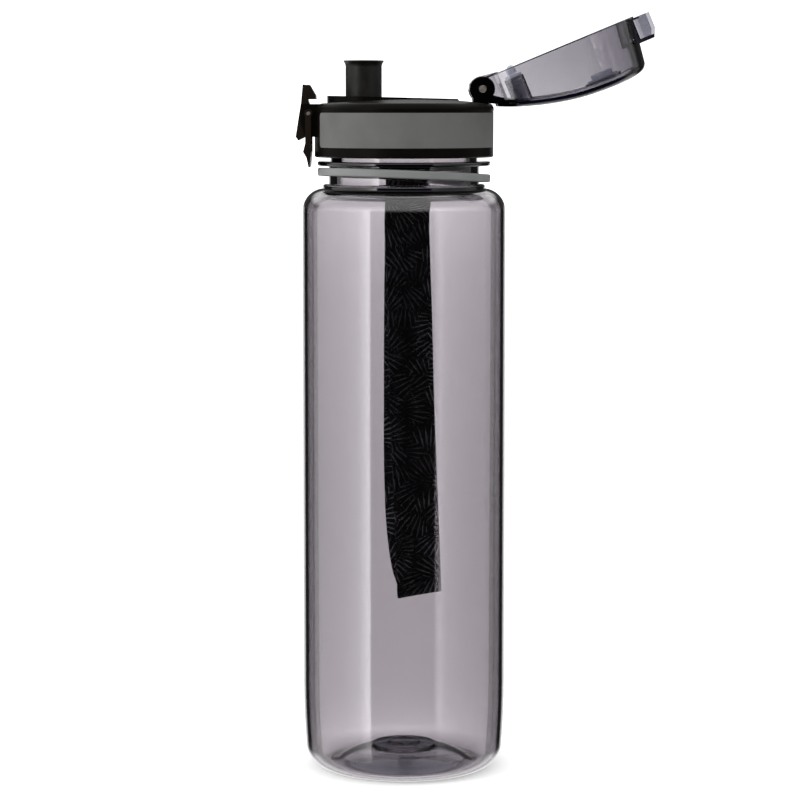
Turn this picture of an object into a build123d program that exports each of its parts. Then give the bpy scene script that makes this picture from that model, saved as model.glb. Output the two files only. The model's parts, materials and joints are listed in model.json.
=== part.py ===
"""One litre sports bottle with a screw lid, a drinking spout under a latched flip cover and a neck strainer.

Millimetres. The origin is the centre of the foot, +Z is up, the strap hangs at +Y, the cover's hinge is at +X
and its latch at -X. Every piece is drawn where it stands at rest: the lid screwed down and the cover open.
"""

import os
from math import acos, asin, atan2, cos, degrees, dist, hypot, radians, sin, sqrt, tan

from build123d import *

os.makedirs("parts", exist_ok=True)

# Clearances, and the overrun of every cut
RUN_GAP = 0.06  # a pin in a hole that turns on it
PART_GAP = 0.40  # between pieces that move past each other
SEAT_GAP = 0.30  # a piece at rest on the seat that carries it
FIT_GAP = 0.10  # a guide that slides in its sleeve
OVERRUN = 1.0

# Bottle body
BODY_R = 40.5
BODY_WALL = 1.8
SHOULDER_R = 9.0
SHOULDER_Z = 224.5
FOOT_CORNER_R = 9.6
FOOT_RING_W = 0.9
FOOT_TAPER_DEG = 4.0
FOOT_TAPER_IN = 0.92  # how far the wall draws in above the foot's corner
FOOT_DOME_RISE = 5.9
FOOT_DOME_R = 13.6
FOOT_STEP_R = 7.2
FOOT_STEP_H = 1.2
FLOOR_T = 1.9

# Neck
NECK_R = 29.9
NECK_WALL = 1.9
BEAD_OUT = 2.4  # from the neck's outside to the bead's
BEAD_TOP_Z = 235.15
FLANGE_OUT = 4.5  # from the neck's outside to the flange's
FLANGE_Z = 242.4
FLANGE_T = 1.8
FINISH_STEP = 0.6  # from the neck's outside in to the threaded finish
RIM_Z = 262.2

# Screw thread
THREAD_LEAD = 9.0
THREAD_STARTS = 2
THREAD_TURNS = 0.85
THREAD_ROOT_W = 2.2
THREAD_CREST_W = 1.0
THREAD_H = 1.4
THREAD_SINK = 0.2  # how far a ridge's foot goes into the wall that carries it
THREAD_UP_SHARE = 0.75  # from the top of the neck's flange to the ridges' start, of the lead
THREAD_FLANK_GAP = 0.45
THREAD_CREST_GAP = 0.5

# Loose neck ring with its strap eye
RING_BORE_GAP = 0.8
RING_W = 3.7
RING_H = 3.24
RING_Z = 238.65
RING_TILT_DEG = 2.9
RING_LOW_AZ_DEG = 41.0
EYE_AZ_DEG = 87.4
EYE_BAR_R = 1.2
EYE_REACH = 4.8  # from the ring's outside to the bar's centre
EYE_SIDE_GAP = 1.0
EYE_ARM_W = 2.4
EYE_ARM_H = 2.6

# Strap
STRAP_W = 19.2
STRAP_T = 1.2
STRAP_BOTTOM_Z = 62.0
STRAP_BODY_GAP = 0.45
STRAP_PLY_GAP = 0.9
STRAP_FOLD_R = 2.4
STRAP_LAP_GAP = 0.05
STRAP_LAP = 16.0
STRAP_LAP_DROP = 12.5  # from the shoulder's foot down to the lap's lower end
# Down the ply next to the body: depth as a share of the drop, drift as a share of the width, lean in degrees
NEAR_PLY_SHARES = [(0.015, -0.028, -1.0), (0.126, -0.010, 0.0), (0.274, 0.034, 0.0), (0.495, 0.082, 0.6),
                   (0.668, 0.142, 1.2), (0.766, 0.178, 2.2), (0.889, 0.222, 5.0)]
# Up the far ply: depth, drift, bow away from the body as a share of the fold's radius, lean in degrees
FAR_PLY_SHARES = [(0.920, 0.112, 0.67, 8.5), (0.849, 0.020, 0.79, 6.0), (0.791, -0.022, 0.75, 3.5),
                  (0.705, -0.048, 0.58, 1.0), (0.458, -0.056, 0.25, 0.0), (0.212, -0.044, 0.04, 0.0),
                  (0.114, -0.034, 0.0, 0.0), (0.003, -0.034, 0.0, 0.0)]
FOLD_DRIFT_SHARE = 0.249
FOLD_LEAN_DEG = 10.3
TOP_DRIFT_SHARE = -0.034
LAP_STRAIGHT_SHARE = 0.8
TACK_PROUD = 0.35
TACK_H = 9.0
TACK_BAR = 1.1
TACK_FROM_END = 2.5
TACK_FROM_EDGE = 2.0

# Lid shell, liner and band
LID_BOTTOM_Z = 245.8
LID_WALL = 2.64
LID_EDGE_Z = 267.1
LID_EDGE_DROP = 3.1
LID_EDGE_IN = 1.5
LID_CROWN = 2.2
LID_FOOT_CHAMFER = 0.5
LINER_FIT = 0.3
LINER_WALL = 1.4
LINER_TOP_Z = 265.0
LINER_DISC_T = 1.1
LINER_FOOT_UP = 1.2
LINER_RIB_H = 2.0
GASKET_T = 1.3
GASKET_W = 3.2
BAND_LOW_Z = 249.75
BAND_HIGH_Z = 263.4
BAND_T = 1.25
BAND_GAP_Y = 13.0
BAND_CORNER_R = 1.6

# Hinge
HINGE_IN = 4.64  # from the lid's outside in to the pin
HINGE_Z = 272.7
HINGE_PIN_R = 1.5
LUG_R = 4.0
LUG_IN_Y = 5.2
LUG_W = 4.2
EAR_R = 5.2
EAR_W = 2.2
RECESS_IN = 9.3  # from the pin to the end of the cover's recess
HINGE_COIL_R = 2.6
HINGE_WIRE_R = 0.4
HINGE_COILS = 5
HINGE_COIL_PITCH = 1.35
HINGE_LEG_PAST = 3.0  # from the cover's notch to the leg's end under the roof

# Cover, drawn along U from the hinge to the tip and up V from the hinge, and then set down open
OPEN_DEG = 22.5  # the way from hinge to tip, above +X, in the open pose
CLOSED_DIP_DEG = 2.0  # the tip's dip in the closed pose
COVER_RIM_V = -3.6
COVER_WALL = 2.2
COVER_ROOF_T = 1.9
COVER_SIDE_IN = 14.54  # from the lid's outside in to the closed cover's side
COVER_TIP_IN = 2.6  # from the latch's pin in to the closed cover's tip
COVER_TIP_T = 3.6
COVER_ROOT_U = 3.0
COVER_FLARE_U = 6.0
COVER_DRAFT = 1.6
COVER_TIP_DRAFT = 3.4
COVER_TALL = 25.6
COVER_EDGE_SHARE = 0.162  # the roof's edge radius, of the cover's half width
NOTCH_U = 7.5
ROOF_TOP_V = 18.6
# The roof's side view: U as shares of the tip's, V as shares of the top's
ROOF_SHARES = [(0.045, 0.468), (0.241, 0.737), (0.382, 0.871), (0.526, 0.962), (0.680, 1.0), (0.833, 0.995),
               (1.030, 0.839)]
CATCH_OUT = 5.7
CATCH_LOW_V = -2.9
CATCH_TOP_V = 7.2
CATCH_CHAMFER = 1.6
CATCH_HALF_W = 8.6
CATCH_WALL = 1.3
CATCH_SILL_T = 0.8
CATCH_SILL_END = 1.4  # from the tip's outside to the sill's end
WINDOW_IN = 1.1  # from the tip's outside back to the window's root

# Plugs on the cover
VENT_U = 13.6
VENT_SOCKET_W = 1.35
VENT_SOCKET_V = 0.5
VENT_STEM_R = 2.6
VENT_NOSE_R = 1.9
VENT_TIP_V = -4.5
VENT_FLANGE_W = 0.7
VENT_FLANGE_T = 1.0
VENT_RIB_PITCH = 1.05
VENT_RIB_DEPTH = 0.31
PLUG_R = 6.6
PLUG_COLLAR_T = 1.3
PLUG_COLLAR_V = 14.2
PLUG_FACE_V = 13.5
BUNG_R = 4.7
BUNG_V = 11.6
BUNG_CHAMFER = 0.4

# Deck, spout and air hole
DECK_INSET = 1.0
DECK_LEFT_Z = 270.1
DECK_RIGHT_Z = 268.8
DECK_END_IN = 9.7  # from the pin to the deck's low end
DECK_ROOT_U = 2.0
SPOUT_IN = 21.7  # from the latch's pin in to the spout's middle
SPOUT_R = 7.2
SPOUT_MOUTH_R = 8.0
SPOUT_BORE_R = 5.3
SPOUT_TOP_Z = 284.0
SPOUT_FLARE_H = 3.2
SPOUT_FOOT_W = 2.0
SPOUT_LIP = 0.4
AIR_HOLE_R = 1.2
AIR_SEAT_R = 3.4
AIR_SEAT_Z = 267.0
VALVE_R = 1.9
VALVE_H = 3.2
VALVE_SLIT = 0.5

# Latch and lock bail
LATCH_OUT = 2.16  # from the lid's outside to the latch's pin
LATCH_Z = 263.1
LATCH_PIN_R = 0.75
LATCH_HUB_R = 1.75
LATCH_HALF_W = 6.2
LATCH_EAR_W = 2.4
HOOK_GAP = 0.4  # from the shut catch's sill up to the hook
HOOK_H = 5.8
TAB_H = 10.7
# The lever's outline: the hook in shares of its height above its underside, the tab in shares of its depth
HOOK_SHARES = [(-0.397, 1.0), (0.069, 0.974), (0.483, 0.259), (0.507, 0.0), (-0.069, 0.0)]
TAB_SHARES = [(0.084, 0.15), (0.15, -0.065), (0.019, -0.224), (-0.14, -0.879), (-0.388, -1.0), (-0.481, -0.85),
              (-0.355, -0.047), (-0.28, 0.374)]
EAR_PLATE_UP = 3.7
EAR_PLATE_DOWN = 9.2
EAR_PLATE_OUT = 3.05
EAR_PLATE_BEND_SHARE = 0.424
EAR_PLATE_FOOT_SHARE = 0.13
BAIL_GAP = 0.6
BAIL_LEG_W = 1.6
BAIL_TIP = 6.1  # from the cross piece's inside down to the pointed tip
BAIL_HEAD_R = 1.6
BAIL_FRONT = 1.25
BAIL_BACK = 1.05
LATCH_PIN_END = 0.2
LATCH_COIL_R = 1.35
LATCH_WIRE_R = 0.25
LATCH_COILS = 5
LATCH_COIL_PITCH = 0.95
SPRING_BAY_Y = 3.0
SPRING_BAY_H = 2.6
SPRING_BAY_OUT = 1.9
LEG_END_GAP = 0.2

# Strainer cup under the lid
CUP_NECK_GAP = 6.5  # between the cup and the neck's bore
CUP_WALL = 1.2
CUP_BOTTOM_Z = 248.2
COLLAR_T = 1.4
COLLAR_DROP = 4.4
CUP_SLOTS = 12
SLOT_W = 3.0
SLOT_BELOW_COLLAR = 1.5
CUP_HOLE_R = 1.3
CUP_HOLE_PITCH = 5.2
CUP_HOLE_COUNTS = (1, 6, 12, 18)

# Sizes that follow from the ones above
FOOT_RING_R = BODY_R - FOOT_CORNER_R * cos(radians(FOOT_TAPER_DEG)) - FOOT_TAPER_IN
NECK_IN_R = NECK_R - NECK_WALL
BEAD_R = NECK_R + BEAD_OUT
FLANGE_R = NECK_R + FLANGE_OUT
FINISH_R = NECK_R - FINISH_STEP
RING_IN_R = NECK_R + RING_BORE_GAP
RING_OUT_R = RING_IN_R + RING_W
EYE_SPAN = STRAP_W + 2 * EYE_SIDE_GAP
STRAP_DROP = SHOULDER_Z - STRAP_BOTTOM_Z
STRAP_LAP_Z = SHOULDER_Z - STRAP_LAP_DROP
NECK_THREAD_Z = FLANGE_Z + FLANGE_T + THREAD_UP_SHARE * THREAD_LEAD
LINER_IN_R = FINISH_R + THREAD_H + THREAD_CREST_GAP
LINER_R = LINER_IN_R + LINER_WALL
LID_IN_R = LINER_R + LINER_FIT
LID_R = LID_IN_R + LID_WALL
LINER_BOTTOM_Z = LID_BOTTOM_Z + LINER_FOOT_UP
DISC_LOW_Z = LINER_TOP_Z - LINER_DISC_T
HINGE_X = LID_R - HINGE_IN
LATCH_X = -LID_R - LATCH_OUT
COVER_TIP_U = HINGE_X - LATCH_X - COVER_TIP_IN
COVER_W = LID_R - COVER_SIDE_IN
COVER_EDGE_R = COVER_EDGE_SHARE * COVER_W
SPOUT_X = LATCH_X + SPOUT_IN
PLUG_U = (HINGE_X - SPOUT_X) / cos(radians(CLOSED_DIP_DEG)) - PLUG_FACE_V * tan(radians(CLOSED_DIP_DEG))
RECESS_X = HINGE_X - RECESS_IN
LUG_OUT_Y = LUG_IN_Y + LUG_W
EAR_IN_Y = LUG_OUT_Y + PART_GAP
EAR_OUT_Y = EAR_IN_Y + EAR_W
CATCH_U = COVER_TIP_U + CATCH_OUT
WINDOW_U = COVER_TIP_U - WINDOW_IN
SILL_END_U = COVER_TIP_U + CATCH_SILL_END
VENT_SOCKET_R = VENT_STEM_R + VENT_SOCKET_W
SPOUT_FOOT_R = SPOUT_R + SPOUT_FOOT_W
LATCH_EAR_IN_Y = LATCH_HALF_W + PART_GAP
LATCH_EAR_OUT_Y = LATCH_EAR_IN_Y + LATCH_EAR_W
BAIL_IN_Y = LATCH_EAR_OUT_Y + SEAT_GAP
BAIL_OUT_Y = BAIL_IN_Y + BAIL_LEG_W
CUP_R = FINISH_R - NECK_WALL - CUP_NECK_GAP
SLEEVE_R = CUP_R + FIT_GAP
ROOF = [(u * COVER_TIP_U, v * ROOF_TOP_V) for u, v in ROOF_SHARES]

SIDE = Plane(origin=(0, 0, 0), x_dir=(1, 0, 0), z_dir=(0, -1, 0))  # X to the right and Z up


# Drawing helpers

def outline(plane, start, *steps):
    """A closed face on a plane. A step is an end point, or a (middle, end) pair for an arc."""
    def place(p):
        return plane.from_local_coords((p[0], p[1], 0))

    edges, here = [], start
    for step in steps:
        if isinstance(step[0], tuple):
            middle, end = step
            edges.append(ThreePointArc(place(here), place(middle), place(end)))
        else:
            end = step
            edges.append(Line(place(here), place(end)))
        here = end
    if dist(here, start) > 0:
        edges.append(Line(place(here), place(start)))
    return Face(Wire(edges))


def on_arc(centre, radius, angle_deg):
    """The point of a circle at an angle from its first axis."""
    a = radians(angle_deg)
    return (centre[0] + radius * cos(a), centre[1] + radius * sin(a))


def arc(centre, radius, start_deg, end_deg):
    """The step that follows a circle from one angle to another."""
    return (on_arc(centre, radius, (start_deg + end_deg) / 2), on_arc(centre, radius, end_deg))


def turned(start, *steps):
    """A solid of revolution about Z, from its outline in radius and height."""
    return revolve(outline(SIDE, start, *steps), Axis.Z)


def tube(out_r, in_r, low, high, x=0.0, y=0.0):
    """An upright ring, or a disc where in_r is 0."""
    return Pos(x, y, 0) * turned((in_r, low), (out_r, low), (out_r, high), (in_r, high))


def slab(points, half, inner=0.0):
    """A side view pushed both ways from the middle, less its middle where inner is not 0."""
    body = extrude(outline(SIDE, *points), half, both=True)
    if inner:
        body -= extrude(outline(SIDE, *points), inner, both=True)
    return body


def block(x0, x1, y0, y1, z0, z1):
    """A box from its two corners."""
    return Pos((x0 + x1) / 2, (y0 + y1) / 2, (z0 + z1) / 2) * Box(x1 - x0, y1 - y0, z1 - z0)


def rod(x, z, radius, half, inner=0.0):
    """A round bar along Y through (x, z), or its two ends beyond inner."""
    lay = Pos(x, 0, z) * Rot(90, 0, 0)
    body = lay * Cylinder(radius, 2 * half)
    if inner:
        body -= lay * Cylinder(2 * radius, 2 * inner)
    return body


def tangent_leg(radius, target, side):
    """The (angle, length) of the line from a circle about the origin to a target, where it touches on one side."""
    reach = hypot(*target)
    angle = degrees(atan2(target[1], target[0])) + side * degrees(acos(radius / reach))
    return angle, sqrt(reach ** 2 - radius ** 2)


def least_gap(path, wire_r, turn_length, samples=240):
    """The least free space between stretches of a wire that lie half a turn or more apart along it."""
    points = [path @ (i / samples) for i in range(samples + 1)]
    skip = int(samples * 0.5 * turn_length / path.length) + 1
    pairs = ((points[i] - points[j]).length for i in range(samples) for j in range(i + skip, samples + 1))
    return min(pairs) - 2 * wire_r


def coil_spring(name, x, z, coil_r, wire_r, coils, pitch, legs):
    """A torsion spring along Y about (x, z): legs are two (angle, length) pairs, each tangent to the coils.

    Angles are in the XZ plane from +X towards +Z. The first leg meets the coils' +Y end against the winding and
    the second leaves the -Y end along it, so the wire runs on without a kink.
    """
    (start_deg, start_len), (end_deg, end_len) = legs
    turns = coils + ((end_deg - start_deg) % 360) / 360
    helix = Helix(pitch=pitch, height=turns * pitch, radius=coil_r)
    first, last = helix @ 0, helix @ 1
    before, after = (helix % 0).normalized(), (helix % 1).normalized()
    path = Wire([Line(first - before * start_len, first), helix.edge(), Line(last, last + after * end_len)])
    print(f"{name}: least gap in the wire {least_gap(path, wire_r, helix.length / turns):.2f} mm")
    wire = sweep(Plane(origin=path @ 0, z_dir=before) * Circle(wire_r), path=path)
    return Pos(x, turns * pitch / 2, z) * Rot(90, 0, 0) * Rot(0, 0, start_deg) * wire


# Bottle

def bottle_body():
    """The blown body: domed foot, straight wall, shoulder, bead, flange and threaded finish in one piece."""
    taper = radians(FOOT_TAPER_DEG)
    corner_c = (FOOT_RING_R, FOOT_CORNER_R)
    taper_r = FOOT_TAPER_IN / (1 - cos(taper))
    wall_z = FOOT_CORNER_R * (1 - sin(taper)) + taper_r * sin(taper)
    taper_c = (BODY_R - taper_r, wall_z)
    shoulder_c = (BODY_R - SHOULDER_R, SHOULDER_Z)
    bead_z = SHOULDER_Z + sqrt(SHOULDER_R ** 2 - (BEAD_R - shoulder_c[0]) ** 2)
    bead_deg = degrees(atan2(bead_z - SHOULDER_Z, BEAD_R - shoulder_c[0]))
    bead_edge = (BEAD_TOP_Z - bead_z) * 0.6
    edge = FLANGE_T * 0.35
    flange_low, flange_high = FLANGE_Z + edge, FLANGE_Z + FLANGE_T - edge
    lip = NECK_WALL * 0.3
    dome_r = FOOT_RING_R - 4.5 * FOOT_RING_W
    dome_z = 0.32 * FOOT_DOME_RISE
    ring_z = 0.1 * FOOT_DOME_RISE
    dome_mid_r = (FOOT_DOME_R + dome_r) / 2
    dome_mid_z = (FOOT_DOME_RISE + dome_z) / 2 + 0.12 * FOOT_DOME_RISE
    step_z = FOOT_DOME_RISE + FOOT_STEP_H
    top_z = step_z + FOOT_STEP_H
    inset = 0.25 * FLOOR_T
    body = turned(
        (0, top_z),
        (FOOT_STEP_R - 0.4 * FOOT_STEP_H, top_z),
        (FOOT_STEP_R, step_z),
        (FOOT_DOME_R - 0.4 * FOOT_STEP_H, step_z),
        (FOOT_DOME_R, FOOT_DOME_RISE),
        ((dome_mid_r, dome_mid_z), (dome_r, dome_z)),
        ((FOOT_RING_R - 2.2 * FOOT_RING_W, ring_z), (FOOT_RING_R - FOOT_RING_W, 0)),
        (FOOT_RING_R, 0),
        arc(corner_c, FOOT_CORNER_R, -90, -FOOT_TAPER_DEG),
        arc(taper_c, taper_r, -FOOT_TAPER_DEG, 0),
        (BODY_R, SHOULDER_Z),
        arc(shoulder_c, SHOULDER_R, 0, bead_deg),
        (BEAD_R, BEAD_TOP_Z - bead_edge),
        arc((BEAD_R - bead_edge, BEAD_TOP_Z - bead_edge), bead_edge, 0, 90),
        (NECK_R, BEAD_TOP_Z),
        (NECK_R, FLANGE_Z),
        (FLANGE_R - edge, FLANGE_Z),
        arc((FLANGE_R - edge, flange_low), edge, -90, 0),
        (FLANGE_R, flange_high),
        arc((FLANGE_R - edge, flange_high), edge, 0, 90),
        (FINISH_R, FLANGE_Z + FLANGE_T),
        (FINISH_R, RIM_Z - lip),
        arc((FINISH_R - lip, RIM_Z - lip), lip, 0, 90),
        (FINISH_R - NECK_WALL, RIM_Z),
        (FINISH_R - NECK_WALL, FLANGE_Z),
        (NECK_IN_R, FLANGE_Z - NECK_WALL),
        (NECK_IN_R, BEAD_TOP_Z),
        ((NECK_IN_R + 0.5 * NECK_WALL, bead_z - 0.7 * BODY_WALL),
         (shoulder_c[0], SHOULDER_Z + SHOULDER_R - BODY_WALL)),
        arc(shoulder_c, SHOULDER_R - BODY_WALL, 90, 0),
        (BODY_R - BODY_WALL, wall_z),
        arc(taper_c, taper_r - BODY_WALL, 0, -FOOT_TAPER_DEG),
        arc(corner_c, FOOT_CORNER_R - BODY_WALL, -FOOT_TAPER_DEG, -90),
        ((FOOT_RING_R - 3 * FOOT_RING_W, ring_z + FLOOR_T), (dome_r - inset, dome_z + FLOOR_T)),
        ((dome_mid_r - inset, dome_mid_z + FLOOR_T), (FOOT_DOME_R - inset, FOOT_DOME_RISE + FLOOR_T)),
        (FOOT_DOME_R - 0.8 * FOOT_STEP_H, step_z + FLOOR_T),
        (FOOT_STEP_R - 0.4 * FOOT_STEP_H, step_z + FLOOR_T),
        (FOOT_STEP_R - 0.8 * FOOT_STEP_H, top_z + FLOOR_T),
        (0, top_z + FLOOR_T),
    )
    return body + thread(FINISH_R, NECK_THREAD_Z, outward=True)


def thread(wall_r, low_z, outward):
    """The helical ridges on a wall, as many as there are starts."""
    sign = 1 if outward else -1
    foot_r = wall_r - sign * THREAD_SINK
    crest_r = wall_r + sign * THREAD_H
    helix = Helix(pitch=THREAD_LEAD, height=THREAD_LEAD * THREAD_TURNS, radius=foot_r)
    section = outline(SIDE, (foot_r, -THREAD_ROOT_W / 2), (foot_r, THREAD_ROOT_W / 2),
                      (crest_r, THREAD_CREST_W / 2), (crest_r, -THREAD_CREST_W / 2))
    ridge = sweep(section, path=helix, is_frenet=True)
    turns = [360 * i / THREAD_STARTS for i in range(THREAD_STARTS)]
    return Part() + [Pos(0, 0, low_z) * Rot(0, 0, turn) * ridge for turn in turns]


# Neck ring and strap

def ring_axis():
    """The level line that the loose ring tips about, low on the bead at one side and high under the flange."""
    low = radians(RING_LOW_AZ_DEG)
    return Axis((0, 0, RING_Z), (-sin(low), cos(low), 0))


def eye_frame():
    """The centre of the eye's bar, and the bar's direction, on the tipped ring."""
    az = radians(EYE_AZ_DEG)
    reach = RING_OUT_R + EYE_REACH
    tip = Axis((0, 0, 0), ring_axis().direction)
    centre = Vector(0, 0, RING_Z) + Vector(reach * cos(az), reach * sin(az), 0).rotate(tip, RING_TILT_DEG)
    along = Vector(sin(az), -cos(az), 0).rotate(tip, RING_TILT_DEG)
    return centre, along


def neck_ring():
    """A flat ring with two arms and a round bar at the back, for the strap."""
    edge = RING_H * 0.22
    low, high = RING_Z - RING_H / 2, RING_Z + RING_H / 2
    ring = turned(
        (RING_IN_R, low),
        (RING_OUT_R - edge, low),
        arc((RING_OUT_R - edge, low + edge), edge, -90, 0),
        (RING_OUT_R, high - edge),
        arc((RING_OUT_R - edge, high - edge), edge, 0, 90),
        (RING_IN_R, high),
    )
    reach = RING_OUT_R + EYE_REACH
    arm_in = RING_IN_R + 0.3 * RING_W
    across = Pos(0, reach, RING_Z) * Rot(0, 90, 0)
    eye = across * Cylinder(EYE_BAR_R, EYE_SPAN + 2 * EYE_ARM_W)
    for side in (-1, 1):
        mid = side * (EYE_SPAN + EYE_ARM_W) / 2
        start = sqrt(arm_in ** 2 - mid ** 2)
        eye += block(mid - EYE_ARM_W / 2, mid + EYE_ARM_W / 2, start, reach,
                     RING_Z - EYE_ARM_H / 2, RING_Z + EYE_ARM_H / 2)
        eye += Pos(mid, 0, 0) * across * Cylinder(EYE_ARM_H / 2, EYE_ARM_W)
    eye -= tube(RING_IN_R, 0, low - OVERRUN, high + OVERRUN)
    return (ring + strap_place() * eye).rotate(ring_axis(), RING_TILT_DEG)


def strap_place():
    """The turn from the strap's frame, with X along the eye's bar seen from above, to the row's."""
    return Rot(0, 0, EYE_AZ_DEG - 90)


def strap_route():
    """The strap's middle line as (x, y, z, lean) stations in its own frame, once round the loop.

    It starts at the lap outside the far ply, goes up and over the eye's bar, down close to the body, round the
    fold and up again to end under the lap. lean turns the strap's width, in degrees, seen from the front.
    """
    centre, along = eye_frame()
    bar_y, bar_z = hypot(centre.X, centre.Y), centre.Z
    bar_lean = degrees(asin(along.Z))
    wrap = EYE_BAR_R + PART_GAP + STRAP_T / 2
    near = BODY_R + STRAP_BODY_GAP + STRAP_T / 2
    far = near + STRAP_T + STRAP_PLY_GAP
    lap = far + STRAP_T + STRAP_LAP_GAP
    fold_y = near + STRAP_FOLD_R
    fold_z = STRAP_BOTTOM_Z + STRAP_FOLD_R + STRAP_T / 2
    top_x = TOP_DRIFT_SHARE * STRAP_W
    half_turn = [radians(d) for d in range(0, 181, 30)]
    stations = [
        (top_x, lap, STRAP_LAP_Z, 0.0),
        (top_x, lap, STRAP_LAP_Z + LAP_STRAIGHT_SHARE * STRAP_LAP, 0.0),
        (top_x, lap, STRAP_LAP_Z + STRAP_LAP, 0.5 * bar_lean),
    ]
    stations += [(0.0, bar_y + wrap * cos(a), bar_z + wrap * sin(a), bar_lean) for a in half_turn]
    stations += [
        (0.0, bar_y - wrap + 0.3 * STRAP_T, bar_z - 1.4 * wrap, bar_lean),
        (0.0, near - 0.4 * STRAP_T, SHOULDER_Z + 0.55 * SHOULDER_R, bar_lean),
    ]
    stations += [(drift * STRAP_W, near, SHOULDER_Z - depth * STRAP_DROP, lean)
                 for depth, drift, lean in NEAR_PLY_SHARES]
    stations += [(FOLD_DRIFT_SHARE * STRAP_W, fold_y - STRAP_FOLD_R * cos(a), fold_z - STRAP_FOLD_R * sin(a),
                  FOLD_LEAN_DEG) for a in half_turn]
    stations += [(drift * STRAP_W, far + bow * STRAP_FOLD_R, SHOULDER_Z - depth * STRAP_DROP, lean)
                 for depth, drift, bow, lean in FAR_PLY_SHARES]
    return stations


def carry_strap():
    """The webbing loop: a flat strip lofted through the stations of its route."""
    stations = strap_route()
    middles = [Vector(*s[:3]) for s in stations]
    sections = []
    for i, mid in enumerate(middles):
        lean = radians(stations[i][3])
        way = (middles[min(i + 1, len(middles) - 1)] - middles[max(i - 1, 0)]).normalized()
        across = Vector(cos(lean), 0, sin(lean))
        across = (across - way * across.dot(way)).normalized()
        half, thick = across * (STRAP_W / 2), way.cross(across) * (STRAP_T / 2)
        corners = (mid - half - thick, mid + half - thick, mid + half + thick, mid - half + thick)
        sections.append(Wire(Polyline(*corners, close=True).edges()))
    return strap_place() * (Part() + Solid.make_loft(sections, ruled=True))


def strap_bartack():
    """The sewn box on the lap: four bars of thread."""
    x, y = strap_route()[0][:2]
    y0, y1 = y + STRAP_T / 2, y + STRAP_T / 2 + TACK_PROUD
    low = STRAP_LAP_Z + TACK_FROM_END
    half = STRAP_W / 2 - TACK_FROM_EDGE
    tack = Part()
    for z in (low, low + TACK_H - TACK_BAR):
        tack += block(x - half, x + half, y0, y1, z, z + TACK_BAR)
    for left in (x - half, x + half - TACK_BAR):
        tack += block(left, left + TACK_BAR, y0, y1, low, low + TACK_H)
    return strap_place() * tack


# Cover

def cover_place():
    """The open cover's frame in the row."""
    a = radians(OPEN_DEG)
    return Plane(origin=(HINGE_X, 0, HINGE_Z), x_dir=(cos(a), 0, sin(a)), z_dir=(sin(a), 0, -cos(a)))


def closed_to_row(u, v):
    """A point of the closed cover's side view, in the row's X and Z."""
    dip = radians(CLOSED_DIP_DEG)
    return (HINGE_X - u * cos(dip) - v * sin(dip), HINGE_Z - u * sin(dip) + v * cos(dip))


def cover_plan(tip_u, half_w, root_half, root_u, v):
    """The cover's outline from above at height v, from its root at the hinge to its round tip."""
    centre_u = tip_u - half_w
    run, rise = centre_u - COVER_FLARE_U, half_w - root_half
    flare_r = (run ** 2 + rise ** 2) / (2 * rise)
    turn = degrees(asin(run / flare_r))
    mid = on_arc((centre_u, half_w - flare_r), flare_r, 90 + turn / 2)
    level = Plane(origin=(0, 0, v), x_dir=(1, 0, 0), z_dir=(0, 0, 1))
    return outline(
        level,
        (root_u, -root_half),
        (COVER_FLARE_U, -root_half),
        ((mid[0], -mid[1]), (centre_u, -half_w)),
        ((tip_u, 0), (centre_u, half_w)),
        (mid, (COVER_FLARE_U, root_half)),
        (root_u, root_half),
    )


def under_roof(drop, low_v):
    """Everything below the roof's side view, lowered by drop."""
    def place(u, v):
        return SIDE.from_local_coords((u, v, 0))

    first, last = (ROOF[0][0], ROOF[0][1] - drop), (ROOF[-1][0], ROOF[-1][1] - drop)
    far_u = last[0] + COVER_TIP_T + CATCH_OUT
    corners = [last, (far_u, 0.75 * last[1]), (far_u, low_v), (-2 * EAR_R, low_v), (-2 * EAR_R, 0.6 * first[1]),
               first]
    roof = Spline(*[place(u, v - drop) for u, v in ROOF])
    walls = [Line(place(*a), place(*b)) for a, b in zip(corners, corners[1:])]
    return extrude(Face(Wire([roof, *walls])), 2 * COVER_W, both=True)


def cover_hull(hollow):
    """The outside of the cover, or its hollow, between the rim and the roof."""
    wall = COVER_WALL if hollow else 0.0
    tip = COVER_TIP_U - (COVER_TIP_T if hollow else 0.0)
    root = -2 * EAR_R if hollow else COVER_ROOT_U
    low = COVER_RIM_V - (2 * COVER_WALL if hollow else 0.0)
    high = COVER_RIM_V + COVER_TALL
    half, root_half = COVER_W - wall, EAR_OUT_Y - wall
    lower = cover_plan(tip, half, root_half, root, low)
    upper = cover_plan(tip - COVER_TIP_DRAFT, half - COVER_DRAFT, root_half - 0.3 * COVER_DRAFT, root, high)
    prism = Solid.make_loft([lower.outer_wire(), upper.outer_wire()], ruled=True)
    return Part() + (Part() + prism) & under_roof(COVER_ROOF_T if hollow else 0.0, low)


def soften_roof(hull, radius):
    """Rounds the edges where the roof meets the walls, away from the root."""
    def is_roof_edge(edge):
        span, rise = ((edge @ 0) - (edge @ 1)).length, abs((edge @ 0).Z - (edge @ 1).Z)
        high = edge.center().Z > COVER_RIM_V + 0.4 * COVER_TALL
        return high and edge.center().X > COVER_FLARE_U and span > radius and rise < 0.35 * (span + COVER_TALL)

    return fillet([e for e in hull.edges() if is_roof_edge(e)], radius)


def roof_v(u, drop):
    """The roof's height at u, between the points that it is drawn through, less drop."""
    for (u0, v0), (u1, v1) in zip(ROOF, ROOF[1:]):
        if u <= u1:
            return v0 + (v1 - v0) * (u - u0) / (u1 - u0) - drop
    return ROOF[-1][1] - drop


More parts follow.
